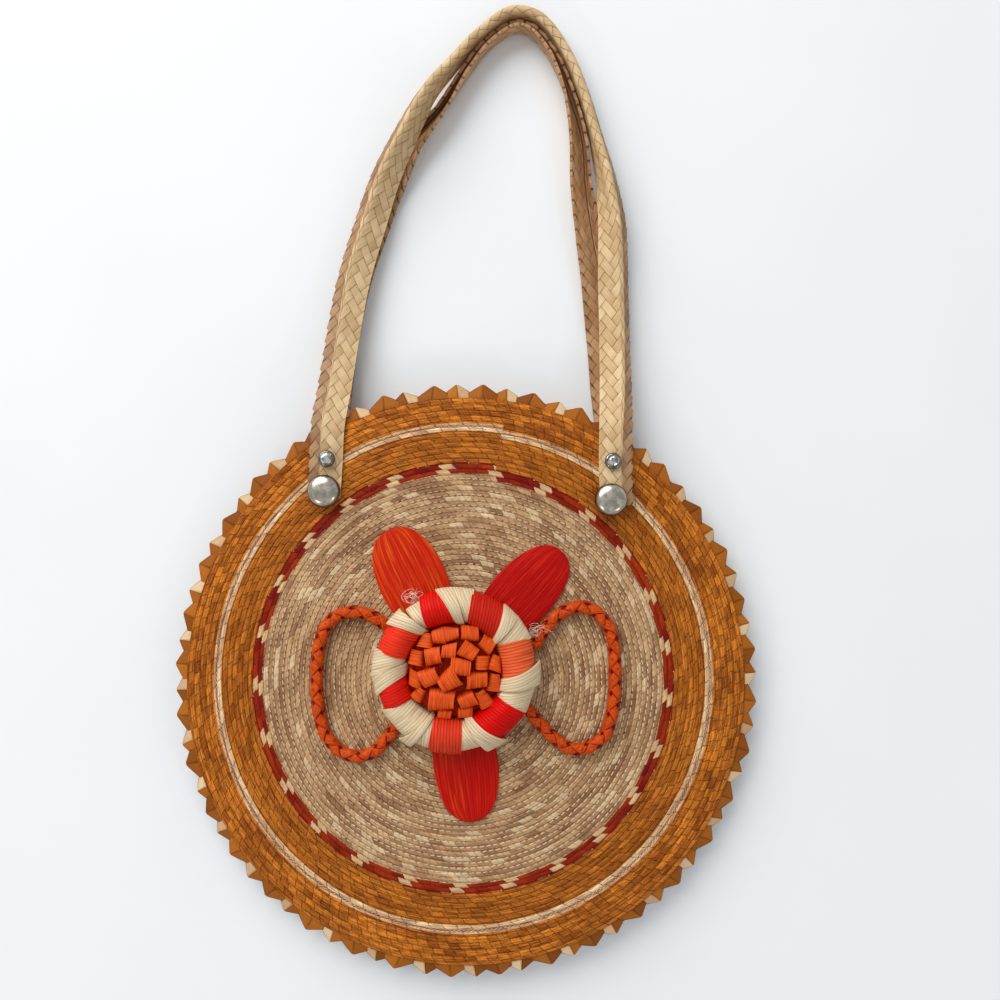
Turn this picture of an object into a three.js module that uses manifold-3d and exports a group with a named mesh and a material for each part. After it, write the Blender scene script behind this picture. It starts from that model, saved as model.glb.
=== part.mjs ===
// Round palm tote bag lying on its back: two spiral-sewn discs joined round a toothed edge and open at
// the top, a folded plaited strap riveted to each disc, and a palm flower with leaves and cord loops.
// Millimetres, +Z up. The origin is the middle of the back disc where it rests, +Y runs to the handles.
// A bearing is measured round a disc or flower from +Y, clockwise as seen from above.
import * as THREE from "three";
import { mergeVertices } from "three/addons/utils/BufferGeometryUtils.js";
import Module from "manifold-3d";

const wasm = await Module();
wasm.setup();
const { degToRad, lerp, smoothstep } = THREE.MathUtils;

// Discs
const DISC_RADIUS = 157.5; // to the edge of the last sewn row
const DISC_STRETCH = 1.015; // a disc's height over its width
const DISC_WALL = 2.2;
const DISC_SEGMENTS = 40;
const DISC_RINGS = [0, 55, 82, 107, 128, 145, DISC_RADIUS];
const GAP = 0.3; // left between touching pieces
const BACK_FLAT = 55; // radius of the flat middle that the bag rests on
const BACK_TURN = 165; // radius at which the back disc stops rising
const BACK_RISE = 10.5;
const FRONT_MIDDLE = 27.5; // height of the front disc's outer face at its middle
const FRONT_FALL = 10.1; // from the middle to the rim
const FRONT_POWER = 2.4; // larger keeps the middle flatter
const MOUTH_LIFT = 9; // the front rim stands this much higher at the open mouth
const MOUTH_FULL = degToRad(18);
const MOUTH_SHUT = degToRad(62);
const MOUTH_START = 45; // radius at which the front disc begins to lift

// Toothed edge
const TEETH = 72;
const TRIM_WALL = 1.5;
const TRIM_GAP = 0.6; // under the front disc
const TRIM_INNER = 152;
const TOOTH_FOOT = 158.3;
const TOOTH_TIPS = [165.4, 164.4]; // a wide tooth, then a narrow one
const NOTCH_RADIUS = 159.4;
const NOTCH_DEPTH = 0.8; // below the ridges of the teeth

// Straps
const STRAP_WALL = 1.6;
const STRAP_FACE = 12; // flat of the wide side, from its free edge to the fold
const STRAP_FLANGE = 5.6; // flat of the narrow side
const FOLD_RADIUS = 1.8; // to the middle of the wall
const FOLD_STEPS = 2;
const STRAP_STEPS = 28;
const STRAP_SEAT = 4.8; // a rivet head's height over the disc, with the strap between

// Rivets
const SHANK_RADIUS = 1.8;
const HOLE_RADIUS = 2.2;
const HOLE_SIDES = 10;
const WASHER_RADIUS = 3.6;
const WASHER_GAP = 1; // the disc slopes under a level washer
const WASHER_WALL = 1;
const DOME_RADIUS = 9.1;
const DOME_HEIGHT = 5.2;
const BACK_DOME_HEIGHT = 2.9;
const STUD_RADIUS = 4.6;
const STUD_HEIGHT = 2.4;
const STONE_RADIUS = 3.5;
const STONE_TABLE = 2;
const STONE_HEIGHT = 1.1;
const STONE_FACETS = 8;
const RIVET_SIDES = 12;
const STUD_SIDES = 8;

// Flower
const FLOWER_X = -5.7;
const FLOWER_Y = 10.5;
const STEM_RADIUS = 16;
const PLATE_RADIUS = 30;
const PLATE_UNDER = 6; // heights over the front disc's middle
const PLATE_OVER = 7.2;
const RIBBON_WALL = 1.2;
const RIBBON_STEPS = 8;
const RIBBON_GAP = degToRad(1);
const WRAP_CROWN = 1.4;
const FOLD_VALLEY = -1.3;
const CURL_WALL = 1;
const CURL_STEPS = 3;
const HEAD_RADIUS = 22;
const HEAD_RISE = 5;
const HEAD_SIDES = 12;
const BASE_SIDES = 16;
const LEAF_WALL = 1;
const LEAF_CAMBER = 1.8;
const LEAF_GAP = 0.5; // over the front disc

// Cord loops
const CORD_RADIUS = 3.8;
const CORD_SIDES = 10;
const CORD_STEPS = 22;

function table(columns, rows) {
  return rows.map((row) => Object.fromEntries(columns.map((name, k) => [name, row[k]])));
}

// The fold line of each strap, from its left rivets over the arch to its right ones. The wide side leans
// by tilt from level as it rises to the fold, and opening is the angle between the two sides.
const FRONT_STRAP = table(
  ["x", "y", "z", "tilt", "opening"],
  [
    [-81.4, 104.5, 29.7, 4, 168],
    [-80.1, 125, 29.9, 6, 165],
    [-79, 145, 30.3, 9, 160],
    [-75.7, 170, 23, 14, 160],
    [-73, 192, 18, 16, 158],
    [-66.7, 231, 15.4, 17, 128],
    [-57.4, 261.5, 17, 28, 108],
    [-48, 287.5, 19.8, 44, 82],
    [-36.4, 309.2, 22.4, 60, 60],
    [-22, 333, 25.2, 78, 28],
    [-7.2, 352.8, 17, 88, 16],
    [8, 369.2, 15, 90, 14],
    [26.1, 381.3, 15, 90, 14],
    [40.9, 378.4, 15, 90, 14],
    [55.2, 361.2, 15, 90, 14],
    [65.6, 338, 15, 90, 14],
    [73.6, 312, 15, 88, 18],
    [80.6, 286, 18.6, 72, 42],
    [85.8, 259, 19.2, 46, 78],
    [88.3, 222.2, 15.6, 16, 106],
    [88.7, 190, 18, 15, 110],
    [88.2, 166, 23.6, 13, 122],
    [86.9, 144, 29.6, 9, 150],
    [86.4, 122, 29.4, 6, 165],
    [87.2, 100, 29.1, 4, 168],
  ],
);
const BACK_STRAP = table(
  ["x", "y", "z", "tilt", "opening"],
  [
    [-81.4, 104.5, 4.2, 4, 168],
    [-80.6, 125, 5.6, 5, 165],
    [-80.2, 145, 5.2, 6, 140],
    [-79.8, 170, 2.2, 4, 70],
    [-77, 195, 2.9, 3, 24],
    [-69.2, 233, 2.9, 2, 8],
    [-59.6, 261, 2.9, 2, 6],
    [-48.6, 287.6, 2.4, 20, 8],
    [-34.2, 308.8, 1, 50, 50],
    [-16.5, 327.4, 0.7, 74, 10],
    [-1.7, 347.5, 0.4, 87, 6],
    [11.7, 364.6, 0.3, 88, 6],
    [27.6, 374.9, 0.3, 88, 6],
    [37.2, 373, 0.3, 88, 6],
    [49.8, 358.2, 0.3, 88, 6],
    [59.2, 337, 0.4, 82, 12],
    [67, 311, 0.6, 62, 30],
    [69, 285, 0.6, 54, 46],
    [72.4, 258, 0.7, 46, 84],
    [78, 230, 0.9, 30, 92],
    [83, 200, 1.9, 10, 60],
    [85.6, 168, 2.2, 4, 70],
    [86.5, 144, 5.2, 6, 140],
    [86.6, 122, 5.6, 5, 165],
    [87.2, 100, 4, 4, 168],
  ],
);
const RIVETS = table(
  ["side", "domeX", "domeY", "studX", "studY"],
  [
    ["left", -77.9, 107.9, -76.3, 125.8],
    ["right", 80.5, 103.2, 81.8, 124.5],
  ],
);

// A ribbon's arch over the wreath, from its inner foot to its outer one, round the flower's middle and
// over the front disc's middle
const ARCH = table(
  ["radius", "rise"],
  [
    [27.6, 7.7],
    [27, 13],
    [29.2, 18.6],
    [33.6, 22],
    [38.6, 21.4],
    [43, 17.8],
    [44.6, 14],
    [43, 10.8],
    [39.2, 10],
  ],
);
const WRAPS = table(
  ["bearing", "half", "colour"],
  [
    [-13, 12, 0xb01c0e],
    [32, 13, 0xb8200f],
    [79, 13.5, 0xd8512a],
    [138, 15, 0xc8230f],
    [186.5, 14.5, 0xba2011],
    [253.5, 13.5, 0xb81e10],
    [300.5, 13.5, 0xc9240f],
  ],
);

// Curled strips of the flower's middle: place from the flower's middle, way the curl's axis runs, length
// along that axis, span across it, and height of its crown over the plate
const CURLS = table(
  ["x", "y", "turn", "length", "span", "crown"],
  [
    [-12.2, 14.1, 75, 6, 5, 12],
    [-6.8, 16.4, 10, 6, 7, 13],
    [-0.9, 18.1, 5, 8, 7, 13],
    [7.6, 18.5, -5, 9.5, 8, 13],
    [15.8, 13.3, -40, 8, 7.5, 13],
    [-17.6, 6.8, 80, 8, 7.5, 12],
    [-9.5, 7.7, 10, 8.5, 9, 15],
    [-2, 10.2, 5, 8, 7.5, 16],
    [7, 10.2, -30, 9.5, 8.5, 16],
    [13.5, 4.7, 85, 7.5, 7, 15],
    [19.6, 4.1, 80, 8.5, 6.5, 12],
    [3.4, 2.8, -10, 11, 9, 18],
    [-2, -3.5, 35, 11, 10, 18],
    [11, -3.6, 5, 11, 8.5, 16],
    [19.4, -4.9, 85, 9.5, 6.5, 12],
    [-11, -2.2, 20, 10, 9, 16],
    [-17.8, -3.2, 80, 8.5, 8, 12],
    [-16.2, -10.3, 55, 7.5, 6, 11],
    [-5.5, -13.1, 0, 14, 11, 15],
    [6.7, -13.3, 20, 9.5, 7.5, 14],
    [14, -12.4, -60, 10, 7, 13],
    [5.4, -19.3, 5, 8, 6, 11],
    [-4.3, -20.2, -5, 7.5, 5.5, 10],
  ],
);

// A leaf's half width along its length, as a share of the widest
const LEAF = table(
  ["along", "spread"],
  [
    [0, 0.6],
    [0.16, 0.78],
    [0.34, 0.94],
    [0.52, 1],
    [0.68, 0.95],
    [0.82, 0.78],
    [0.92, 0.53],
    [0.98, 0.27],
    [1, 0.1],
  ],
);
const LEAVES = table(
  ["name", "baseX", "baseY", "tipX", "tipY", "half", "colour"],
  [
    ["leaf_upper_left", -15, 29, -42.4, 86.4, 18.9, 0xd2461c],
    ["leaf_upper_right", 8, 25.4, 53.6, 74.4, 17.3, 0xb5170d],
    ["leaf_bottom", -3.5, -9.4, 4, -75.5, 18, 0xcf2a12],
  ],
);
const LEFT_LOOP = table(
  ["x", "y"],
  [
    [-38.5, 29.5],
    [-43.1, 33.2],
    [-49, 37.6],
    [-55.5, 40.3],
    [-63, 41.2],
    [-70.5, 39],
    [-76.2, 34],
    [-79.7, 26.5],
    [-81.5, 16],
    [-82, 4],
    [-81.4, -9],
    [-79.7, -19.9],
    [-76.1, -28.2],
    [-70.4, -34.5],
    [-62.8, -38.3],
    [-55.5, -38.2],
    [-48.2, -34.4],
    [-42.6, -28],
    [-37.5, -21.3],
    [-32.6, -16.4],
  ],
);
const RIGHT_LOOP = table(
  ["x", "y"],
  [
    [31, 20.8],
    [38.4, 23.8],
    [44.6, 32.2],
    [51.3, 39.2],
    [58.6, 43.2],
    [66, 43.9],
    [72.5, 41],
    [77.6, 35.4],
    [81.2, 27.8],
    [82.6, 17],
    [82.9, 4],
    [82.1, -9],
    [80.3, -19],
    [77.4, -26.6],
    [72.2, -31.4],
    [65.5, -34.2],
    [58.6, -34.3],
    [51.3, -30.1],
    [44.6, -24],
    [38.4, -16.9],
    [33.2, -11.6],
    [27.4, -8.1],
  ],
);

const bag = new THREE.Group();

function add(name, geometry, colour, roughness = 0.7, metalness = 0) {
  const material = new THREE.MeshStandardMaterial({ color: colour, roughness, metalness });
  const mesh = new THREE.Mesh(geometry, material);
  mesh.name = name;
  bag.add(mesh);
}

function enclosedVolume(geometry) {
  const corner = [new THREE.Vector3(), new THREE.Vector3(), new THREE.Vector3()];
  const { index } = geometry;
  let total = 0;
  for (let k = 0; k < index.count; k += 3) {
    corner.forEach((point, n) => point.fromBufferAttribute(geometry.attributes.position, index.getX(k + n)));
    total += corner[0].dot(corner[1].cross(corner[2])) / 6;
  }
  return total;
}

// Merges shared points, drops the faces that this flattens and turns the rest to point out
function closedGeometry(points, faces) {
  const raw = new THREE.BufferGeometry().setFromPoints(points);
  raw.setIndex(faces.flat());
  const merged = mergeVertices(raw);
  const indices = merged.index.array;
  const kept = [];
  for (let k = 0; k < indices.length; k += 3) {
    const [a, b, c] = indices.slice(k, k + 3);
    if (a !== b && b !== c && c !== a) kept.push(a, b, c);
  }
  merged.setIndex(kept);
  if (enclosedVolume(merged) < 0) merged.setIndex(kept.reverse());
  merged.computeVertexNormals();
  return merged;
}

function capFaces(section, offset) {
  const normal = new THREE.Vector3();
  section.forEach((point, k) => {
    const next = section[(k + 1) % section.length];
    normal.x += (point.y - next.y) * (point.z + next.z);
    normal.y += (point.z - next.z) * (point.x + next.x);
    normal.z += (point.x - next.x) * (point.y + next.y);
  });
  normal.normalize();
  const across = section[1].clone().sub(section[0]).normalize();
  const upward = normal.clone().cross(across);
  const outline = section.map((point) => new THREE.Vector2(point.dot(across), point.dot(upward)));
  return THREE.ShapeUtils.triangulateShape(outline, []).map((face) => face.map((k) => k + offset));
}

// Skins a row of point loops. A closed row runs round to its first loop, and any other is capped.
function loft(sections, closed = false) {
  const count = sections[0].length;
  const spans = closed ? sections.length : sections.length - 1;
  const faces = [];
  for (let s = 0; s < spans; s += 1) {
    const here = s * count;
    const there = ((s + 1) % sections.length) * count;
    for (let k = 0; k < count; k += 1) {
      const next = (k + 1) % count;
      faces.push([here + k, here + next, there + next]);
      faces.push([here + k, there + next, there + k]);
    }
  }
  if (!closed) {
    faces.push(...capFaces(sections[0], 0).map((face) => face.reverse()));
    faces.push(...capFaces(sections.at(-1), spans * count));
  }
  return closedGeometry(sections.flat(), faces);
}

function toSolid(geometry) {
  const bare = geometry.clone();
  bare.deleteAttribute("normal");
  bare.deleteAttribute("uv");
  const merged = mergeVertices(bare);
  const vertProperties = new Float32Array(merged.attributes.position.array);
  const triVerts = new Uint32Array(merged.index.array);
  return new wasm.Manifold(new wasm.Mesh({ numProp: 3, vertProperties, triVerts }));
}

function toGeometry(solid) {
  const { vertProperties, triVerts } = solid.getMesh();
  const geometry = new THREE.BufferGeometry();
  geometry.setAttribute("position", new THREE.BufferAttribute(vertProperties, 3));
  geometry.setIndex(new THREE.BufferAttribute(triVerts, 1));
  geometry.computeVertexNormals();
  return geometry;
}

// Places on the discs
function discPoint(radius, bearing, height) {
  return new THREE.Vector3(
    radius * Math.sin(bearing),
    radius * Math.cos(bearing) * DISC_STRETCH,
    height,
  );
}

function frontOver(radius, bearing) {
  const away = Math.abs(Math.atan2(Math.sin(bearing), Math.cos(bearing)));
  const open = 1 - smoothstep(away, MOUTH_FULL, MOUTH_SHUT);
  const lift = MOUTH_LIFT * open * smoothstep(radius, MOUTH_START, DISC_RADIUS);
  return FRONT_MIDDLE - FRONT_FALL * (radius / DISC_RADIUS) ** FRONT_POWER + lift;
}

function backUnder(radius) {
  return BACK_RISE * smoothstep(radius, BACK_FLAT, BACK_TURN);
}

function frontOverAt(x, y) {
  const across = y / DISC_STRETCH;
  return frontOver(Math.hypot(x, across), Math.atan2(x, across));
}

function backUnderAt(x, y) {
  return backUnder(Math.hypot(x, y / DISC_STRETCH));
}

// Discs and toothed edge
function disc(over, under) {
  const sections = [];
  for (let s = 0; s < DISC_SEGMENTS; s += 1) {
    const bearing = (s / DISC_SEGMENTS) * 2 * Math.PI;
    const top = DISC_RINGS.map((radius) => discPoint(radius, bearing, over(radius, bearing)));
    const bottom = DISC_RINGS.map((radius) => discPoint(radius, bearing, under(radius, bearing)));
    sections.push([...top, ...bottom.reverse()]);
  }
  return loft(sections, true);
}

function drill(geometry, places) {
  const reach = 60;
  const cutters = places.map(({ x, y }) => {
    const cylinder = new THREE.CylinderGeometry(HOLE_RADIUS, HOLE_RADIUS, reach, HOLE_SIDES);
    return toSolid(cylinder.rotateX(Math.PI / 2).translate(x, y, 0));
  });
  return toGeometry(cutters.reduce((solid, cutter) => solid.subtract(cutter), toSolid(geometry)));
}

function trim() {
  const over = (radius, bearing) => frontOver(Math.min(radius, DISC_RADIUS), bearing) - DISC_WALL - TRIM_GAP;
  const sections = [];
  for (let s = 0; s < 2 * TEETH; s += 1) {
    const bearing = (s / TEETH) * Math.PI;
    const isTip = s % 2 === 0;
    const reach = isTip ? TOOTH_TIPS[(s / 2) % TOOTH_TIPS.length] : NOTCH_RADIUS;
    const sink = isTip ? 0 : NOTCH_DEPTH;
    const inner = over(TRIM_INNER, bearing);
    const foot = over(TOOTH_FOOT, bearing);
    sections.push([
      discPoint(TRIM_INNER, bearing, inner),
      discPoint(TOOTH_FOOT, bearing, foot - sink),
      discPoint(reach, bearing, foot - NOTCH_DEPTH),
      discPoint(TOOTH_FOOT, bearing, foot - TRIM_WALL),
      discPoint(TRIM_INNER, bearing, inner - TRIM_WALL),
    ]);
  }
  return loft(sections, true);
}

// Straps
function strapOutline(tilt, opening) {
  const turn = Math.PI - opening;
  const middle = tilt - turn / 2;
  const centreOut = FOLD_RADIUS * Math.sin(middle) + (STRAP_WALL / 2) * Math.sin(middle);
  const centreUp = -(FOLD_RADIUS + STRAP_WALL / 2) * Math.cos(middle);
  const side = (offset) => {
    const reach = FOLD_RADIUS + offset;
    const points = [];
    for (let k = 0; k <= FOLD_STEPS; k += 1) {
      const heading = tilt - (turn * k) / FOLD_STEPS;
      points.push([centreOut - reach * Math.sin(heading), centreUp + reach * Math.cos(heading)]);
    }
    const [faceOut, faceUp] = points[0];
    const [flangeOut, flangeUp] = points[FOLD_STEPS];
    const end = tilt - turn;
    points.unshift([faceOut - STRAP_FACE * Math.cos(tilt), faceUp - STRAP_FACE * Math.sin(tilt)]);
    points.push([flangeOut + STRAP_FLANGE * Math.cos(end), flangeUp + STRAP_FLANGE * Math.sin(end)]);
    return points;
  };
  return [...side(STRAP_WALL / 2), ...side(-STRAP_WALL / 2).reverse()];
}

// upward is 1 for a strap whose fold is its highest line and -1 for the same strap turned over
function strap(rows, upward) {
  const line = rows.map(({ x, y, z }) => new THREE.Vector3(x, y, z));
  const curve = new THREE.CatmullRomCurve3(line, false, "centripetal");
  const sections = [];
  for (let s = 0; s <= STRAP_STEPS; s += 1) {
    const share = s / STRAP_STEPS;
    const along = share * (rows.length - 1);
    const first = Math.min(Math.floor(along), rows.length - 2);
    const between = along - first;
    const tilt = degToRad(lerp(rows[first].tilt, rows[first + 1].tilt, between));
    const opening = degToRad(lerp(rows[first].opening, rows[first + 1].opening, between));
    const place = curve.getPoint(share);
    const run = curve.getTangent(share);
    const outward = new THREE.Vector3(-run.y, run.x, 0).normalize();
    const up = new THREE.Vector3(0, 0, upward);
    const toWorld = ([out, rise]) => place.clone().addScaledVector(outward, out).addScaledVector(up, rise);
    sections.push(strapOutline(tilt, opening).map(toWorld));
  }
  return loft(sections);
}

// Rivets, made along +Z with the underside of the head at zero
function rivetProfile(headProfile, grip) {
  const shank = [
    [0, -grip - WASHER_WALL],
    [WASHER_RADIUS, -grip - WASHER_WALL],
    [WASHER_RADIUS, -grip],
    [SHANK_RADIUS, -grip],
    [SHANK_RADIUS, 0],
  ];
  return [...shank, ...headProfile].map(([radius, height]) => new THREE.Vector2(radius, height));
}

function turned(profile, sides = RIVET_SIDES) {
  return new THREE.LatheGeometry(profile, sides).rotateX(Math.PI / 2);
}

function domeRivet(height, grip) {
  const head = [
    [DOME_RADIUS, 0],
    [DOME_RADIUS, 0.2 * height],
    [0.9 * DOME_RADIUS, 0.6 * height],
    [0.66 * DOME_RADIUS, 0.9 * height],
    [0.4 * DOME_RADIUS, height],
    [0, height],
  ];
  return turned(rivetProfile(head, grip));
}

function plainStud(grip) {
  const head = [
    [STUD_RADIUS, 0],
    [STUD_RADIUS, 0.5 * STUD_HEIGHT],
    [0.75 * STUD_RADIUS, STUD_HEIGHT],
    [0, STUD_HEIGHT],
  ];
  return turned(rivetProfile(head, grip), STUD_SIDES);
}

function stoneStud(grip) {
  const stone = [
    [0, 0.5 * STUD_HEIGHT],
    [STONE_RADIUS, 0.5 * STUD_HEIGHT],
    [STONE_RADIUS, STUD_HEIGHT],
    [STONE_TABLE, STUD_HEIGHT + STONE_HEIGHT],
    [0, STUD_HEIGHT + STONE_HEIGHT],
  ];
  const cut = turned(stone.map(([radius, height]) => new THREE.Vector2(radius, height)), STONE_FACETS);
  return toGeometry(toSolid(plainStud(grip)).add(toSolid(cut)));
}

// Flower
function flowerPoint(radius, bearing, rise) {
  return new THREE.Vector3(
    FLOWER_X + radius * Math.sin(bearing),
    FLOWER_Y + radius * Math.cos(bearing),
    FRONT_MIDDLE + rise,
  );
}

function flowerBase() {
  const profile = [
    [0, GAP],
    [STEM_RADIUS, GAP],
    [STEM_RADIUS, PLATE_UNDER],
    [PLATE_RADIUS, PLATE_UNDER],
    [PLATE_RADIUS, PLATE_OVER],
    [0, PLATE_OVER],
  ];
  const solid = turned(profile.map(([radius, rise]) => new THREE.Vector2(radius, rise)), BASE_SIDES);
  return solid.translate(FLOWER_X, FLOWER_Y, FRONT_MIDDLE);
}

// One strip of palm arched over the wreath. lift raises or sinks its middle line.
function ribbon(bearing, half, lift) {
  const path = new THREE.SplineCurve(ARCH.map(({ radius, rise }) => new THREE.Vector2(radius, rise)));
  const sections = [];
  for (let s = 0; s <= RIBBON_STEPS; s += 1) {
    const place = path.getPoint(s / RIBBON_STEPS);
    const run = path.getTangent(s / RIBBON_STEPS);
    const normal = new THREE.Vector2(-run.y, run.x);
    const point = (side, offset) => {
      const raised = offset + (side === 0 ? lift : 0);
      const at = place.clone().addScaledVector(normal, raised);
      return flowerPoint(at.x, bearing + side * half, at.y);
    };
    const over = [-1, 0, 1].map((side) => point(side, 0));
    const under = [1, 0, -1].map((side) => point(side, -RIBBON_WALL));
    sections.push([...over, ...under]);
  }
  return loft(sections);
}

function curl({ x, y, turn, length, span, crown }) {
  const arch = (reach) => {
    const points = [];
    for (let k = 0; k <= CURL_STEPS; k += 1) {
      const angle = (Math.PI * k) / CURL_STEPS;
      points.push(new THREE.Vector2(reach * Math.cos(angle), crown - span / 2 + reach * Math.sin(angle)));
    }
    return [new THREE.Vector2(reach, 0), ...points, new THREE.Vector2(-reach, 0)];
  };
  const outline = [...arch(span / 2), ...arch(span / 2 - CURL_WALL).reverse()];
  const strip = new THREE.ExtrudeGeometry(new THREE.Shape(outline), { depth: length, bevelEnabled: false });
  strip.translate(0, 0, -length / 2).rotateX(Math.PI / 2).rotateZ(Math.PI / 2 + degToRad(turn));
  return toSolid(strip.translate(FLOWER_X + x, FLOWER_Y + y, FRONT_MIDDLE + PLATE_OVER + GAP));
}

function curlCluster() {
  const profile = [
    [0, 0],
    [HEAD_RADIUS, 0],
    [HEAD_RADIUS, HEAD_RISE],
    [0, HEAD_RISE],
  ];
  const head = turned(profile.map(([radius, rise]) => new THREE.Vector2(radius, rise)), HEAD_SIDES);
  head.translate(FLOWER_X, FLOWER_Y, FRONT_MIDDLE + PLATE_OVER + GAP);
  return toGeometry(CURLS.reduce((solid, row) => solid.add(curl(row)), toSolid(head)));
}

function leaf({ baseX, baseY, tipX, tipY, half }) {
  const base = new THREE.Vector2(baseX, baseY);
  const tip = new THREE.Vector2(tipX, tipY);
  const run = tip.clone().sub(base);
  const side = new THREE.Vector2(run.y, -run.x).normalize();
  const shares = [-1, -0.5, 0, 0.5, 1];
  const sections = LEAF.map(({ along, spread }) => {
    const middle = base.clone().addScaledVector(run, along);
    const point = (share, offset) => {
      const place = middle.clone().addScaledVector(side, share * spread * half);
      const camber = LEAF_CAMBER * spread * (1 - share * share);
      return new THREE.Vector3(place.x, place.y, frontOverAt(place.x, place.y) + LEAF_GAP + camber + offset);
    };
    const over = shares.map((share) => point(share, LEAF_WALL));
    const under = shares.map((share) => point(share, 0));
    return [...over, ...under.reverse()];
  });
  return loft(sections);
}

function cordLoop(rows) {
  const rise = GAP + CORD_RADIUS;
  const line = rows.map(({ x, y }) => new THREE.Vector3(x, y, frontOverAt(x, y) + rise));
  const section = new THREE.Shape();
  for (let k = 0; k < CORD_SIDES; k += 1) {
    const angle = (k / CORD_SIDES) * 2 * Math.PI;
    const place = [CORD_RADIUS * Math.cos(angle), CORD_RADIUS * Math.sin(angle)];
    if (k === 0) section.moveTo(...place);
    else section.lineTo(...place);
  }
  section.closePath();
  const extrudePath = new THREE.CatmullRomCurve3(line, false, "centripetal");
  return new THREE.ExtrudeGeometry(section, { steps: CORD_STEPS, extrudePath, bevelEnabled: false });
}

// Assembly
const NATURAL = 0xaf8763;
const ORANGE = 0xa9662c;
const STRAW = 0xd8bd92;
const NICKEL = 0x9b968c;
const CREAM = 0xe0c8a0;
const FLAME = 0xc8501e;

const holes = RIVETS.flatMap(({ domeX, domeY, studX, studY }) => [
  { x: domeX, y: domeY },
  { x: studX, y: studY },
]);
const frontUnder = (radius, bearing) => frontOver(radius, bearing) - DISC_WALL;
const backOver = (radius) => backUnder(radius) + DISC_WALL;
add("front_disc", drill(disc(frontOver, frontUnder), holes), NATURAL);
add("back_disc", drill(disc(backOver, backUnder), holes), ORANGE);
add("edge_teeth", trim(), ORANGE);
add("front_handle", drill(strap(FRONT_STRAP, 1), holes), STRAW);
add("back_handle", drill(strap(BACK_STRAP, -1), holes), STRAW);

const grip = STRAP_SEAT + DISC_WALL + WASHER_GAP;
const seatFront = (geometry, x, y) => geometry.translate(x, y, frontOverAt(x, y) + STRAP_SEAT);
const seatBack = (geometry, x, y) => geometry.rotateX(Math.PI).translate(x, y, backUnderAt(x, y) - STRAP_SEAT);
for (const { side, domeX, domeY, studX, studY } of RIVETS) {
  add(`front_dome_rivet_${side}`, seatFront(domeRivet(DOME_HEIGHT, grip), domeX, domeY), NICKEL, 0.35, 1);
  add(`front_stone_rivet_${side}`, seatFront(stoneStud(grip), studX, studY), NICKEL, 0.2, 1);
  add(`back_dome_rivet_${side}`, seatBack(domeRivet(BACK_DOME_HEIGHT, grip), domeX, domeY), NICKEL, 0.35, 1);
  add(`back_plain_rivet_${side}`, seatBack(plainStud(grip), studX, studY), NICKEL, 0.35, 1);
}

add("flower_base", flowerBase(), CREAM);
add("flower_curls", curlCluster(), FLAME, 0.5);
WRAPS.forEach(({ bearing, half, colour }, k) => {
  add(`red_wrap_${k + 1}`, ribbon(degToRad(bearing), degToRad(half), WRAP_CROWN), colour, 0.5);
  const next = WRAPS[(k + 1) % WRAPS.length];
  const start = degToRad(bearing + half) + RIBBON_GAP;
  const wholeTurn = k + 1 < WRAPS.length ? 0 : 2 * Math.PI;
  const end = degToRad(next.bearing - next.half) + wholeTurn - RIBBON_GAP;
  add(`cream_fold_${k + 1}`, ribbon((start + end) / 2, (end - start) / 2, FOLD_VALLEY), CREAM, 0.6);
});
LEAVES.forEach((row) => add(row.name, leaf(row), row.colour, 0.5));
add("cord_loop_left", cordLoop(LEFT_LOOP), FLAME, 0.6);
add("cord_loop_right", cordLoop(RIGHT_LOOP), FLAME, 0.6);

export default bag;
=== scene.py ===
import math
from functools import partialmethod

import bmesh
import bpy
import numpy as np
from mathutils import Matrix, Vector


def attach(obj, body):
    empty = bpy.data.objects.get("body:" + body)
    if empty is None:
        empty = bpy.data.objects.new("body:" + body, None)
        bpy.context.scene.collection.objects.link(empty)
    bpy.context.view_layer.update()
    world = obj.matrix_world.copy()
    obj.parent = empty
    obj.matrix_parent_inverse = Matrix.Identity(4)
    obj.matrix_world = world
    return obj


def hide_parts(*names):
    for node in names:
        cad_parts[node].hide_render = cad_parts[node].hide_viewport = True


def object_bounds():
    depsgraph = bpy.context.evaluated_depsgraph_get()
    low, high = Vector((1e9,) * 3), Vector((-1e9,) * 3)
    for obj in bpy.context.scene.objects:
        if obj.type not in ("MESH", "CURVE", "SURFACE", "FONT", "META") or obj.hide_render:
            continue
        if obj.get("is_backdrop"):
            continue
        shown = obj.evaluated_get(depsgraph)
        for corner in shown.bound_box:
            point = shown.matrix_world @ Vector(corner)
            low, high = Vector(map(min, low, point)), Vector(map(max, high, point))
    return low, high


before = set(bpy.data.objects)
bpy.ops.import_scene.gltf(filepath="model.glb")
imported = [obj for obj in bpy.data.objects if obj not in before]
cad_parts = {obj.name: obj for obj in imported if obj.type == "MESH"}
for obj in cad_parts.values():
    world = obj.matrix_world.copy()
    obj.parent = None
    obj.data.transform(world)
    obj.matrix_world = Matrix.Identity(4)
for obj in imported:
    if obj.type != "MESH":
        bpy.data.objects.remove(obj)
cad_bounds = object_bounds()

# Sizes are in millimetres, as in the part's source, and turned into metres when a mesh is made.
# A bearing is measured from +Y, clockwise as seen from above.
MM = 0.001
DISC_RADIUS = 157.5
DISC_STRETCH = 1.015
DISC_WALL = 2.2
BACK_FLAT = 55
BACK_TURN = 165
BACK_RISE = 10.5
FRONT_MIDDLE = 27.5
FRONT_FALL = 10.1
FRONT_POWER = 2.4
MOUTH_LIFT = 9
MOUTH_FULL = math.radians(18)
MOUTH_SHUT = math.radians(62)
MOUTH_START = 45

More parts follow.
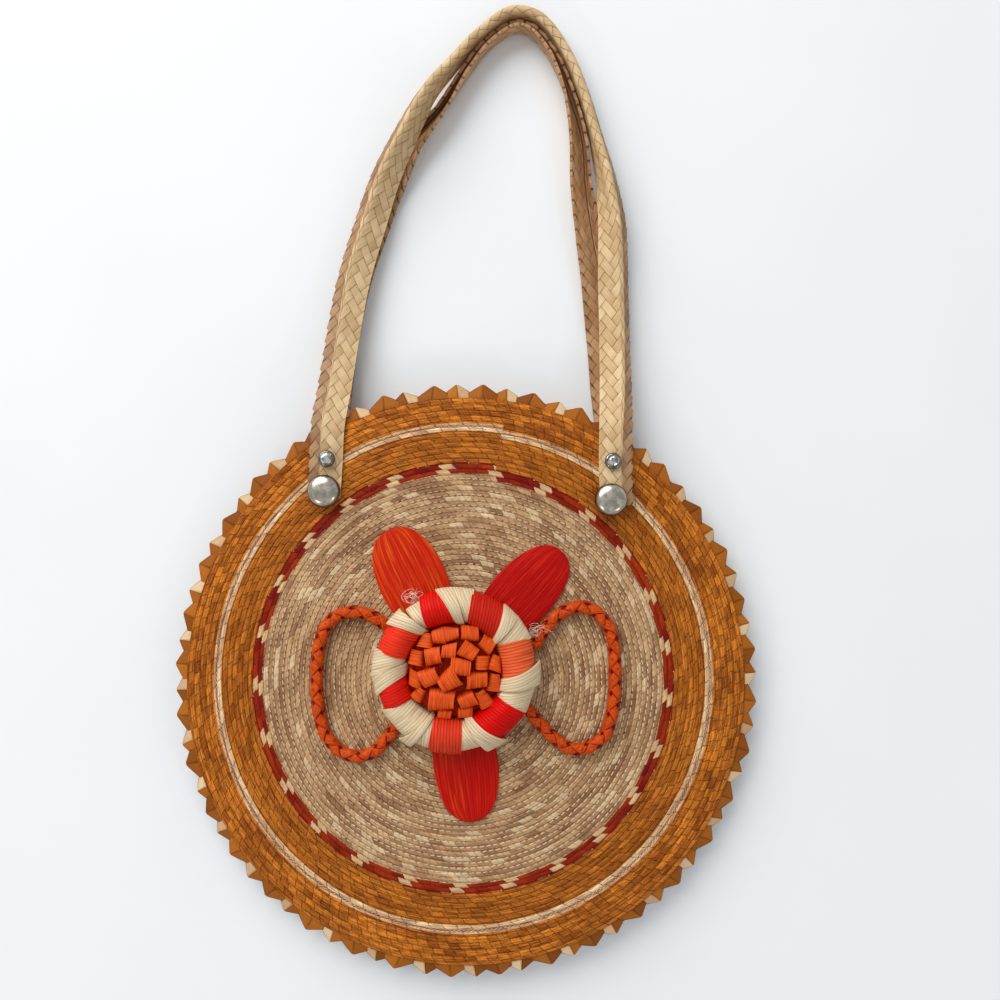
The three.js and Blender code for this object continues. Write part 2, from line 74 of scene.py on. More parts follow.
# Spiral rows: the count of rows from the middle, and the radius that each count reaches
ROW_COUNTS = [0, 38, 40, 46, 48, 53]
ROW_RADII = [0, 110.2, 116.2, 133.9, 140.2, DISC_RADIUS]
ROWS = 53
ROW_DEPTH = 0.35
SEAM = math.radians(8.7)
SPIRAL_X = -0.7
SPIRAL_Y = 2.4
SPIRAL_EVEN = 130
CELL_SLANT = 0.32
# Length of a woven cell in the natural middle
CELL_LENGTH = 7.5
# Dyed rows: the row up to which a count of cells in a turn holds, and the count. Over its rows the cuts
# between cells meet in slanted lines
CELL_COUNTS = [(40, 99.7), (46, 105.32), (48, 110.32), (53, 156.32)]
RED_START = 38
RED_END = 40
# The cream lines, with a dark one between them
CREAM_START = 46
CREAM_LINE = 47
CREAM_END = 47.6
# The row where each zone of a disc starts, with its dark and light dye
ZONES = [
    (0, (144, 100, 68), (210, 168, 122)),
    (RED_START, (116, 8, 2), (164, 50, 8)),
    (RED_END, (146, 74, 12), (200, 116, 34)),
    (CREAM_START, (206, 160, 118), (240, 206, 162)),
    (CREAM_LINE, (198, 146, 106), (226, 180, 138)),
    (CREAM_END, (136, 66, 8), (216, 126, 38)),
]
# Rings of the smooth inner wall, and the coarser pattern on it
WALL_RINGS = (140, 112, 84, 56, 28, 0)
WALL_CELLS = 96
WALL_ROW = 4.2

# Toothed edge
TEETH = 72
TOOTH_TURN = math.radians(3.4)
TRIM_INNER = 153
TOOTH_FOOT = 158.2
TRIM_DROP = 2.6
TRIM_WALL = 1.3
# Wide and narrow teeth, and a small pale one in each pair
WIDE_TIP = 165
WIDE_HALF = math.radians(4.2)
NARROW_TIP = 164.6
NARROW_HALF = math.radians(3.9)
TOOTH_RIDGE = 1.6
PALE_TIP = 161.2
PALE_HALF = math.radians(1.5)
PALE_RIDGE = 0.4
PALE_PLACE = 0.56

# Straps
STRAP_WALL = 1.6
STRAP_FACE = 12
STRAP_FLANGE = 5.6
FOLD_RADIUS = 1.8
PLAIT_ALONG = 5.7
PLAIT_ACROSS = 4.3
STRAP_STEP = 1.1
STRAP_RELIEF = 0.16
PLAIT_SHIFT = 4.2
PLAIT_FOLD = 7.5
STRAP_SEAT = 4.8

# Rivets
DOME_RADIUS = 9.1
DOME_HEIGHT = 5.2
BACK_DOME_HEIGHT = 2.9
STUD_RADIUS = 4.6
STUD_HEIGHT = 2.4
STONE_RADIUS = 3.5
GRIP = 8
SHANK_RADIUS = 1.8
WASHER_RADIUS = 3.6
RIVET_SIDES = 48
STONE_SIDES = 9
# Profiles of the small rivets and the stone: radius, height over the strap
STUD = [
    (STUD_RADIUS, 0), (STUD_RADIUS, 1), (STUD_RADIUS - 0.25, 1.6),
    (3.6, 2.3), (2.4, STUD_HEIGHT), (0, STUD_HEIGHT),
]
BEZEL = [
    (STUD_RADIUS, 0), (STUD_RADIUS, 1.5), (STUD_RADIUS - 0.3, 2.3),
    (3.75, 2.55), (STONE_RADIUS, 2.2), (0, 1.4),
]
STONE = [(0, 1.3), (STONE_RADIUS, 1.5), (STONE_RADIUS, 2.4), (2.6, 3.2), (1.9, 3.5), (0, 3.5)]

# Flower
FLOWER_X = -5.7
FLOWER_Y = 10.5
PLATE_OVER = 7.2
# Profiles of the backing and of the head under the curls: radius, height
PAD = [(0, 0.3), (16, 0.3), (16, 6), (29, 6), (30, 6.6), (29, 7.2), (0, 7.2)]
CURL_HEAD = [(0, 0), (25, 0), (26, 1.5), (25, 3.5), (18, 5), (0, 5.5)]
RIBBON_WALL = 0.9
RIBBON_RIBS = 12
CURL_WALL = 0.8
CURL_ARCH = 0.45
CURL_ROUND = 0.75
CURL_LEAN = 0.17
CURL_TILT = 0.016
LEAF_WALL = 1
LEAF_CAMBER = 1.8
LEAF_GAP = 0.5

# Cord loops
CORD_RADIUS = 3.8
CORD_STEP = 0.8
CORD_SIDES = 16
CORD_LAY = 24
CORD_CORE = 2.4
STRAND_RING = 1.9
STRAND_WEAVE = 0.55
STRAND_THICK = 1.35
STRAND_WIDE = 2.65
GAP = 0.3

# The fold line of each strap: x, y, z, lean of the wide side, angle between the two sides
FRONT_STRAP = [
    (-81.4, 104.5, 29.7, 4, 168),
    (-80.1, 125, 29.9, 6, 165),
    (-79, 145, 30.3, 9, 160),
    (-75.7, 170, 23, 14, 160),
    (-73, 192, 18, 16, 158),
    (-66.7, 231, 15.4, 17, 128),
    (-57.4, 261.5, 17, 28, 108),
    (-48, 287.5, 19.8, 44, 82),
    (-36.4, 309.2, 22.4, 60, 60),
    (-22, 333, 25.2, 78, 28),
    (-7.2, 352.8, 17, 88, 16),
    (8, 369.2, 15, 90, 14),
    (26.1, 381.3, 15, 90, 14),
    (40.9, 378.4, 15, 90, 14),
    (55.2, 361.2, 15, 90, 14),
    (65.6, 338, 15, 90, 14),
    (73.6, 312, 15, 88, 18),
    (80.6, 286, 18.6, 72, 42),
    (85.8, 259, 19.2, 46, 78),
    (88.3, 222.2, 15.6, 16, 106),
    (88.7, 190, 18, 15, 110),
    (88.2, 166, 23.6, 13, 122),
    (86.9, 144, 29.6, 9, 150),
    (86.4, 122, 29.4, 6, 165),
    (87.2, 100, 29.1, 4, 168),
]
BACK_STRAP = [
    (-81.4, 104.5, 4.2, 4, 168),
    (-80.6, 125, 5.6, 5, 165),
    (-80.2, 145, 5.2, 6, 140),
    (-79.8, 170, 2.2, 4, 70),
    (-77, 195, 2.9, 3, 24),
    (-69.2, 233, 2.9, 2, 8),
    (-59.6, 261, 2.9, 2, 6),
    (-48.6, 287.6, 2.4, 20, 8),
    (-34.2, 308.8, 1, 50, 50),
    (-16.5, 327.4, 0.7, 74, 10),
    (-1.7, 347.5, 0.4, 87, 6),
    (11.7, 364.6, 0.3, 88, 6),
    (27.6, 374.9, 0.3, 88, 6),
    (37.2, 373, 0.3, 88, 6),
    (49.8, 358.2, 0.3, 88, 6),
    (59.2, 337, 0.4, 82, 12),
    (67, 311, 0.6, 62, 30),
    (69, 285, 0.6, 54, 46),
    (72.4, 258, 0.7, 46, 84),
    (78, 230, 0.9, 30, 92),
    (83, 200, 1.9, 10, 60),
    (85.6, 168, 2.2, 4, 70),
    (86.5, 144, 5.2, 6, 140),
    (86.6, 122, 5.6, 5, 165),
    (87.2, 100, 4, 4, 168),
]

# Side, x and y of the dome, x and y of the small stud
RIVETS = [
    ("left", -77.9, 107.9, -76.3, 125.8),
    ("right", 80.5, 103.2, 81.8, 124.5),
]

# A ribbon's arch over the wreath: radius round the flower's middle, height over the front disc's middle
ARCH = [
    (27.6, 7.7), (27, 13), (29.2, 18.6), (33.6, 22), (38.6, 21.4),
    (43, 17.8), (44.6, 14), (43, 10.8), (39.2, 10),
]
# Bearings of a ribbon's two edges at its inner foot and at its outer one, how far it lies over the arch,
# and how far its outer end stands out
# Red ribbons, each with its dark and light dye and how dark the painted shade in the grooves between its ribs
# is
WRAPS = [
    ((-32, 6, -25, -9, 0.9, -1.5), (206, 8, 4), (234, 28, 16), 0.16),
    ((16, 54, 13, 39, 0.8, -1.2), (186, 16, 8), (222, 48, 26), 0.4),
    ((58, 102, 66, 96, 0.9, -1.4), (222, 66, 28), (250, 120, 70), 0.4),
    ((119, 162, 120, 151, 1, -1.3), (202, 2, 0), (224, 12, 4), 0.16),
    ((170, 203, 175, 198, 0.6, -0.6), (204, 28, 12), (236, 76, 44), 0.4),
    ((237, 272, 241, 265, 0.6, -3.2), (210, 12, 6), (240, 40, 24), 0.16),
    ((284, 322, 286, 307, 0.9, -3), (226, 26, 10), (254, 70, 38), 0.16),
]
# Cream folds, each of two or three ribbons
FOLDS = [
    [(10, 17, -3, 14, 0.1, 0.6), (4, 14, -13, -1, 1.9, -1.2)],
    [(54, 62, 49, 67, 0.1, 0.8), (52, 58, 37, 50, 1.7, -0.8)],
    [(111, 127, 97, 122, 0.2, 0), (100, 114, 83, 98, 1.9, 0.6)],
    [(164, 172, 155, 176, 0, -1.4), (160, 168, 142, 157, 2, 0.6)],
    [(202, 209, 197, 212, 0, -0.6), (208, 237, 216, 242, 0.2, -0.8), (203, 208, 210, 219, 1.4, 1.4)],
    [(275, 286, 266, 287, 0.1, -0.2), (267, 280, 252, 266, 1.7, -2.4)],
    [(324, 331, 322, 337, 0.1, -2.6), (320, 328, 305, 319, 1.9, -1.8)],
]
# Curled strips of the middle: x and y from the flower's middle, turn, length, span, crown over the plate
CURLS = [
    (-13, 14.8, 75, 8, 7, 12),
    (-7, 17, 10, 7, 8, 13),
    (-0.9, 18.1, 5, 8, 7, 13),
    (7.6, 18.5, -5, 9.5, 8, 13),
    (15.8, 13.3, -40, 8, 7.5, 13),
    (-17.6, 6.8, 80, 8, 7.5, 12),
    (-9.5, 7.7, 10, 8.5, 9, 15),
    (-2, 10.2, 5, 8, 7.5, 16),
    (7, 10.2, -30, 9.5, 8.5, 16),
    (13.5, 4.7, 85, 7.5, 7, 15),
    (19.6, 4.1, 80, 8.5, 6.5, 12),
    (3.4, 2.8, -10, 11, 9, 18),
    (-2, -3.5, 35, 11, 10, 18),
    (11, -3.6, 5, 11, 8.5, 16),
    (19.4, -4.9, 85, 9.5, 6.5, 12),
    (-11, -2.2, 20, 10, 9, 16),
    (-17.8, -3.2, 80, 8.5, 8, 12),
    (-16.2, -10.3, 55, 7.5, 6, 11),
    (-5.5, -13.1, 0, 14, 11, 15),
    (6.7, -13.3, 20, 9.5, 7.5, 14),
    (14, -12.4, -60, 10, 7, 13),
    (5.4, -19.3, 5, 8, 6, 11),
    (-4.3, -20.2, -5, 7.5, 5.5, 10),
]
# A leaf's half width along its length, as a share of the widest
LEAF = [
    (0, 0.6), (0.16, 0.78), (0.34, 0.94), (0.52, 1), (0.68, 0.95),
    (0.82, 0.82), (0.92, 0.62), (0.98, 0.36), (1, 0.14),
]
# Name, x and y of the base, x and y of the tip, widest half width, and the dark, light and stripe dyes
LEAVES = [
    ("leaf_upper_left", (-15, 29, -42.4, 86.4, 18.9), ((196, 24, 6), (218, 48, 12), (222, 96, 24))),
    ("leaf_upper_right", (8, 25.4, 53.6, 74.4, 17.3), ((172, 2, 0), (196, 10, 4), (206, 36, 14))),
    ("leaf_bottom", (-3.5, -9.4, 4, -75.5, 18), ((186, 4, 2), (206, 22, 8), (214, 74, 20))),
]
# Routes of the cords over the front disc: x, y
LEFT_LOOP = [
    (-38.5, 29.5), (-43.1, 33.2), (-49, 37.6), (-55.5, 40.3), (-63, 41.2), (-70.5, 39),
    (-76.2, 34), (-79.7, 26.5), (-81.5, 16), (-82, 4), (-81.4, -9), (-79.7, -19.9),
    (-76.1, -28.2), (-70.4, -34.5), (-62.8, -38.3), (-55.5, -38.2), (-48.2, -34.4), (-42.6, -28),
    (-37.5, -21.3), (-32.6, -16.4),
]
RIGHT_LOOP = [
    (31, 20.8), (38.4, 23.8), (44.6, 32.2), (51.3, 39.2), (58.6, 43.2), (66, 43.9),
    (72.5, 41), (77.6, 35.4), (81.2, 27.8), (82.6, 17), (82.9, 4), (82.1, -9),
    (80.3, -19), (77.4, -26.6), (72.2, -31.4), (65.5, -34.2), (58.6, -34.3), (51.3, -30.1),
    (44.6, -24), (38.4, -16.9), (33.2, -11.6), (27.4, -8.1),
]
THREAD_RADIUS = 0.1
# Thread ends: side, middle, spread, count and seed of the random draws
THREADS = [
    ("left", (-27.2, 49.8, 39), (5, 4.6, 2), 15, 1),
    ("right", (39, 31, 35.4), (7.2, 4.6, 1.5), 7, 2),
]


# Node materials

def rgb(red, green, blue):
    """A display colour from 0 to 255 as a linear one."""
    parts = []
    for part in (red, green, blue):
        share = part / 255
        parts.append(share / 12.92 if share <= 0.04045 else ((share + 0.055) / 1.055) ** 2.4)
    return (*parts, 1)


def plug(tree, socket, value):
    """Joins a line to a socket, or sets the socket to a plain value."""
    if isinstance(value, Line):
        tree.links.new(value.socket, socket)
    else:
        socket.default_value = value


def node(tree, kind, inputs, output=0, **settings):
    """A line from an output of a new node with these inputs and settings."""
    made = tree.nodes.new(kind)
    for name, value in settings.items():
        setattr(made, name, value)
    for place, value in inputs.items():
        plug(tree, made.inputs[place], value)
    return Line(tree, made.outputs[output])


class Line:
    """An output of a node that takes arithmetic, so that a pattern reads as a formula."""

    def __init__(self, tree, socket):
        self.tree = tree
        self.socket = socket

    def apply(self, operation, *others):
        inputs = dict(enumerate((self, *others)))
        return node(self.tree, "ShaderNodeMath", inputs, operation=operation)

    __add__ = partialmethod(apply, "ADD")
    __sub__ = partialmethod(apply, "SUBTRACT")
    __mul__ = partialmethod(apply, "MULTIPLY")
    floor = partialmethod(apply, "FLOOR")
    fract = partialmethod(apply, "FRACT")
    size = partialmethod(apply, "ABSOLUTE")
    wrap = partialmethod(apply, "FLOORED_MODULO")
    below = partialmethod(apply, "LESS_THAN")
    above = partialmethod(apply, "GREATER_THAN")
    least = partialmethod(apply, "MINIMUM")
    most = partialmethod(apply, "MAXIMUM")

    def flip(self):
        """One less this."""
        return self * -1 + 1

    def edge(self):
        """Distance to the nearer end of a share from 0 to 1."""
        return self.least(self.flip())

    def ease(self, low, high):
        """0 below low and 1 above high, smooth between them."""
        inputs = {"Value": self, "From Min": low, "From Max": high}
        return node(self.tree, "ShaderNodeMapRange", inputs, "Result", interpolation_type="SMOOTHSTEP")


class Look:
    """A material and the nodes of its pattern."""

    def __init__(self, name):
        self.material = bpy.data.materials.new(name)
        self.material.use_nodes = True
        self.tree = self.material.node_tree
        self.shader = self.tree.nodes["Principled BSDF"]

    def node(self, *parts, **settings):
        return node(self.tree, *parts, **settings)

    def coords(self):
        """The two coordinates that the mesh carries for its pattern."""
        carried = self.node("ShaderNodeUVMap", {}, "UV", uv_map="weave")
        return [self.node("ShaderNodeSeparateXYZ", {0: carried}, part) for part in (0, 1)]

    def place(self):
        """Position in the object's own frame, in metres."""
        return self.node("ShaderNodeTexCoord", {}, "Object")

    def level(self):
        """Height over the floor in millimetres."""
        return self.node("ShaderNodeSeparateXYZ", {0: self.place()}, 2) * (1 / MM)

    def random(self, number):
        """A share from 0 to 1 that is the same for the same number."""
        return self.node("ShaderNodeTexWhiteNoise", {"W": number}, "Value", noise_dimensions="1D")

    def noise(self, vector, scale, detail):
        return self.node("ShaderNodeTexNoise", {"Vector": vector, "Scale": scale, "Detail": detail}, "Fac")

    def cloud(self, x, y, detail):
        """Noise over two coordinates."""
        return self.noise(self.node("ShaderNodeCombineXYZ", {0: x, 1: y}), 1.0, detail)

    def mix(self, share, first, second):
        """A share from 0 to 1 of the way from the first colour to the second."""
        return self.node("ShaderNodeMix", {0: share, 6: first, 7: second}, 2, data_type="RGBA")

    def steps(self, share, stops):
        """Flat steps of colour, from (position, colour) stops."""
        made = self.tree.nodes.new("ShaderNodeValToRGB")
        made.color_ramp.interpolation = "CONSTANT"
        points = made.color_ramp.elements
        while len(points) < len(stops):
            points.new(1)
        for point, (position, colour) in zip(points, stops):
            point.position = position
            point.color = colour
        plug(self.tree, made.inputs[0], share)
        return Line(self.tree, made.outputs["Color"])

    def shade(self, colour, share):
        return self.node("ShaderNodeVectorMath", {0: colour, "Scale": share}, operation="SCALE")

    def done(self, colour, roughness, height, depth, specular, metallic=0.0):
        """Sets the surface. Depth is the height of the bumps in millimetres."""
        bumps = {"Strength": 1, "Distance": depth * MM, "Height": height}
        inputs = {
            "Base Color": colour,
            "Roughness": roughness,
            "Metallic": metallic,
            "Specular IOR Level": specular,
            "Normal": self.node("ShaderNodeBump", bumps),
        }
        for name, value in inputs.items():
            plug(self.tree, self.shader.inputs[name], value)
        return self.material


def weave_look(name):
    """Spiral-sewn palm rows. The coordinates count cells along the spiral and rows across it."""
    look = Look(name)
    cells, rows = look.coords()
    wander = look.cloud(cells * 0.7, rows * 1.3, 2) - 0.5
    across = rows.fract()
    dyed = rows.above(RED_END)
    slanted = cells + across * CELL_SLANT + wander * 0.4 + look.random(rows.floor()) * dyed * 0.6
    cell = slanted.floor()
    along = slanted.fract()
    pick = look.random(cell)
    drift = look.cloud(cells * 0.2, rows.floor() * 3.7, 2)
    tone = (pick * 0.42 + drift * 1.3 - 0.36).ease(0.05, 0.95)
    jagged = rows - (cells * 0.5).fract() * rows.below(RED_END + 0.5) * 0.2
    # Dyes of the zones
    zone = jagged * (1 / ROWS)
    dark = look.steps(zone, [(start / ROWS, rgb(*dye)) for start, dye, _ in ZONES])
    light = look.steps(zone, [(start / ROWS, rgb(*dye)) for start, _, dye in ZONES])
    colour = look.mix(tone, dark, light)

    # Bleached cells in the natural middle, cream ones in the red band
    natural = jagged.below(RED_START)
    red_band = jagged.above(RED_START) * jagged.below(RED_END)
    bleached = look.random(cell + 0.37).above(0.89) * natural
    colour = look.mix(bleached * 0.66, colour, rgb(232, 202, 160))
    cream_cell = cell.wrap(4).below(0.5) * red_band
    colour = look.mix(cream_cell, colour, rgb(214, 172, 126))

    # Fibres
    streak = look.cloud(cells * 0.9, (rows + wander * 0.3) * 4.3, 3).ease(0.3, 0.7)
    colour = look.shade(colour, (streak - 0.5) * (dyed * 0.3 + 0.5) + 0.99)
    grain = look.cloud(cells * 0.5, (rows + wander * 0.2) * 7, 3)
    colour = look.mix(grain.ease(0.34, 0.44).flip() * dyed * 0.75, colour, rgb(104, 46, 6))
    colour = look.mix(grain.ease(0.56, 0.68) * dyed * 0.55, colour, rgb(226, 142, 58))

    # Painted shade in the cuts between cells and the seams between rows, dark nicks and flecks, and the dark
    # line between the cream rows
    uneven = look.cloud(cells * 1.7, rows * 2.3, 1).ease(0.36, 0.6)
    cut = along.edge().ease(0.01, 0.06).flip() * (uneven * 0.3 + dyed * 0.24 + 0.14)
    nick = (along - 0.5).size().ease(0.0, 0.035).most((across - 0.62).ease(0.0, 0.1)).flip() * natural * 0.3
    saw = (cells * 3).fract() * 0.2
    dash = look.cloud(cells * 2.6, rows.floor() * 5.3, 1).ease(0.3, 0.55)
    seam = (across + saw + wander * 0.2 - 0.1).edge().ease(0.02, 0.1).flip() * (dash * 0.34 + 0.2)
    fleck = look.cloud(cells * 2.2, rows * 3.1, 2).ease(0.64, 0.74) * 0.4
    shade_and_flecks = cut.most(seam).most(nick).most(fleck)
    colour = look.shade(colour, shade_and_flecks.flip())
    ridge = (rows - CREAM_LINE - saw * 1.2).size().ease(0.05, 0.14).flip()
    colour = look.mix(ridge * 0.7, colour, rgb(110, 48, 20))

    # Light stitches
    step = (cells * 2 + across * 0.6).fract()
    tread = (across - 0.12 - step * 0.16 - wander * 0.2).size().ease(0.06, 0.11).flip()
    kept = look.cloud(cells * 0.3, rows * 0.9, 1).ease(0.34, 0.5)
    stitch = step.ease(0.06, 0.12) * step.flip().ease(0.2, 0.26) * tread * natural * kept
    colour = look.mix(stitch * 0.9, colour, rgb(240, 214, 176))
    height = streak * 0.5 + stitch * 0.5 + pick * 0.3 - shade_and_flecks * 1.2
    return look.done(colour, 0.6, height, 0.35, specular=0.12)


def tooth_look(name):
    """Folded points. The coordinates are a tooth's number and side, and its kind and height."""
    look = Look(name)
    number, rise = look.coords()
    kind = (rise * 0.5).floor()
    right = number.fract().above(0.5)
    pick = look.random((number * 2).floor() + kind * 211)
    fibre = look.cloud(number * 46, rise * 2.2, 3)
    dyed = look.mix(pick, rgb(134, 70, 10), rgb(184, 106, 26))
    straw = look.mix(pick, rgb(200, 158, 116), rgb(234, 202, 160))
    cream = (kind - 1).size().below(0.5) * right
    colour = look.mix(cream.most(kind.above(1.5)), dyed, straw)
    colour = look.shade(colour, fibre * 0.6 + 0.7)
    # Painted shade along each point's middle fold and along its edges, where the next point overlaps
    crease_shade = (number.fract() - 0.5).size().ease(0.0, 0.06)
    brim_shade = number.fract().edge().ease(0.06, 0.12)
    colour = look.shade(colour, (crease_shade * 0.4 + 0.6) * (brim_shade * 0.65 + 0.35))
    return look.done(colour, 0.5, fibre + crease_shade, 0.2, specular=0.15)


def plait_look(name, face_dyes, flange_colours, notch_shade):
    """Herringbone plait. The coordinates run along and across the strap, in strand widths.

    The last argument is how much painted shade lies in the fold and along the notched edge of the wide side,
    from 0 to 1.
    """
    look = Look(name)
    run, across = look.coords()
    first = (run + across) * math.sqrt(0.5)
    second = (run - across) * math.sqrt(0.5)
    lane = first.floor()
    other = second.floor()
    over = (lane - other).wrap(4).below(1.5)
    under = over.flip()
    cross = over * second.fract() + under * first.fract()
    along = over * (first - other).wrap(4) + under * (second - lane + 3).wrap(4)
    strand = over * other + under * (lane + 500.5)
    pick = look.random(strand)
    spot = look.random(lane * 7.3 + other * 3.1)
    tone = pick * 0.6 + spot * 0.4
    face = look.mix(tone, *(rgb(*dye) for dye in face_dyes))
    flange = look.mix(tone, *(rgb(*dye) for dye in flange_colours))
    width = across * PLAIT_ACROSS + PLAIT_SHIFT
    bent = STRAP_FACE + PLAIT_FOLD
    # The narrow side is darker than the wide one
    colour = look.mix(width.ease(bent - 0.7, bent), face, flange)
    fibre = look.cloud(cross * 12 + pick * 40, along * 0.5, 2)
    colour = look.shade(colour, fibre * 0.5 + 0.75)
    # Painted shade in the gaps between strands and at the corners where they meet, with split lines in some
    # strands
    sides = cross.edge().ease(0.0, 0.055)
    ends = (along * 0.5).edge().ease(0.0, 0.03)
    uneven = look.cloud(run * 1.3, across * 1.3, 2).ease(0.3, 0.65)
    lines = sides.least(ends).flip() * (uneven * 0.55 + 0.35)
    halved = look.random(strand + 0.71).above(0.4) * under.most(0.55)
    split = (cross - 0.42).size().ease(0.0, 0.03).flip() * halved * uneven * 0.7
    corner = cross.edge().ease(0.0, 0.12).most((along * 0.5).edge().ease(0.0, 0.07)).flip()
    colour = look.mix(lines.most(split).most(corner * 0.8), colour, rgb(112, 72, 36))
    # Painted shade in the notches of the narrow side's free edge, and, as far as the last argument says, along
    # the wide side's notched edge, on its edge wall and in the fold
    hem_shade = width.ease(bent + STRAP_FLANGE - 3, bent + STRAP_FLANGE - 1)
    hem_shade = hem_shade * first.fract().edge().ease(0.03, 0.13).flip()
    brim_shade = width.ease(1, 3.4).flip() * second.fract().edge().ease(0.04, 0.15).flip()
    brim_shade = brim_shade.most(width.ease(0.0, 0.3).flip() * 0.35) * notch_shade
    crease_shade = (width - STRAP_FACE - PLAIT_FOLD / 2).size().ease(1.1, 2.1).flip() * notch_shade
    colour = look.mix(hem_shade.most(brim_shade).most(crease_shade) * 0.85, colour, rgb(78, 44, 22))
    # Painted shade where each strand tucks under the next
    tuck = (along * 0.5).edge().ease(0.0, 0.3)
    colour = look.shade(colour, tuck * 0.1 + 0.9)
    height = tuck * 0.6 + fibre * 0.3 - lines * 0.8
    return look.done(colour, 0.5, height, 0.25, specular=0.2)


def fibre_look(name, dark, light, stripe=None, ribs=0.45, roughness=0.42, one_side=False):
    """Palm strip with fibres along it. The coordinates are millimetres across and along the strip.

    stripe is the colour of lighter fibres, which are mostly on one half of the strip where one_side is set.
    """
    look = Look(name)
    across, along = look.coords()
    broad = look.cloud(across * 0.5, along * 0.03, 3)
    fine = look.cloud(across * 3.6, along * 0.06, 3)
    colour = look.mix(fine.ease(0.3, 0.7), rgb(*dark), rgb(*light))
    if stripe is not None:
        fibres = broad.ease(0.46, 0.66) * fine.ease(0.36, 0.6)
        if one_side:
            fibres = fibres * (across.ease(-3, 4) * 0.85 + 0.15)
        colour = look.mix(fibres, colour, rgb(*stripe))
    # Painted shade in the grooves between the ribs; ribs sets how dark it is
    groove_shade = (across * (1 / 1.7) + fine * 0.5).fract().edge().ease(0.0, 0.22)
    colour = look.shade(colour, groove_shade * ribs + (1 - ribs))
    colour = look.shade(colour, broad * 0.5 + 0.75)
    return look.done(colour, roughness, groove_shade + fine * 0.6, 0.2, specular=0.1)


def flame_look(name):
    """Curled palm, deeper red low down between the curls: partly the palm's own red, partly painted shade. The
    coordinates are as for a palm strip.
    """
    look = Look(name)
    across, along = look.coords()
    fine = look.cloud(across * 2.4, along * 0.07, 3)
    broad = look.cloud(across * 0.4, along * 0.05, 2)
    colour = look.mix(fine.ease(0.3, 0.7), rgb(186, 42, 6), rgb(240, 104, 34))
    colour = look.shade(colour, broad * 0.5 + 0.75)
    # Deeper red lower down: partly the palm's own red, partly painted shade between the curls
    colour = look.mix(look.level().ease(36, 45), rgb(214, 16, 6), colour)
    return look.done(colour, 0.42, fine, 0.15, specular=0.12)


def cord_look(name):
    """Plaited cord. The coordinates are millimetres along it, and from 0 in a crevice to 1 on a strand."""
    look = Look(name)
    along, crest = look.coords()
    fibre = look.cloud(along * 0.9, crest * 9, 3)
    broad = look.noise(look.place(), 160, 2)
    colour = look.mix(fibre.ease(0.3, 0.7), rgb(170, 42, 2), rgb(220, 88, 6))
    colour = look.mix(broad.ease(0.5, 0.75) * 0.4, colour, rgb(150, 18, 2))
    # Painted shade in the crevices between the strands
    colour = look.mix(crest.ease(0.12, 0.5), rgb(122, 14, 0), colour)
    return look.done(colour, 0.4, fibre, 0.2, specular=0.15)


def metal_look(name, low, high, roughness, rim):
    """Plated metal, darker towards its rim, where a painted reflection of dark surroundings lies. The first
    coordinate is the distance from the axis.
    """
    look = Look(name)
    radius, _ = look.coords()
    wear = look.noise(look.place(), 260, 4)
    colour = look.mix(wear.ease(0.35, 0.7), rgb(*low), rgb(*high))
    # Painted reflection of dark surroundings towards the rim
    colour = look.shade(colour, radius.ease(0.8 * rim, 0.97 * rim) * -0.62 + 1)
    rough = look.noise(look.place(), 900, 3) * 0.16 + roughness
    return look.done(colour, rough, wear, 0.03, metallic=1.0, specular=0.5)


def stone_look(name):
    look = Look(name)
    glint = look.noise(look.place(), 350, 2)
    colour = look.mix(glint.ease(0.42, 0.6), rgb(136, 135, 130), rgb(222, 220, 214))
    return look.done(colour, 0.06, glint, 0.02, metallic=0.85, specular=0.8)


def thread_look(name):
    look = Look(name)
    tint = look.noise(look.place(), 400, 1)
    colour = look.mix(tint.ease(0.4, 0.6), rgb(206, 156, 134), rgb(248, 234, 218))
    return look.done(colour, 0.25, tint, 0.02, specular=0.7)


def floor_look(name):
    look = Look(name)
    grain = look.noise(look.place(), 9, 4)
    colour = look.mix(grain, rgb(237, 240, 243), rgb(243, 246, 249))
    return look.done(colour, 0.5, grain, 0.05, specular=0.2)


# Meshes

def add_object(name, data):
    made = bpy.data.objects.new(name, data)
    bpy.context.scene.collection.objects.link(made)
    return made


def stack(*parts):
    """Values side by side on a last axis, each spread over the shape that they share."""
    return np.stack(np.broadcast_arrays(*parts), -1)


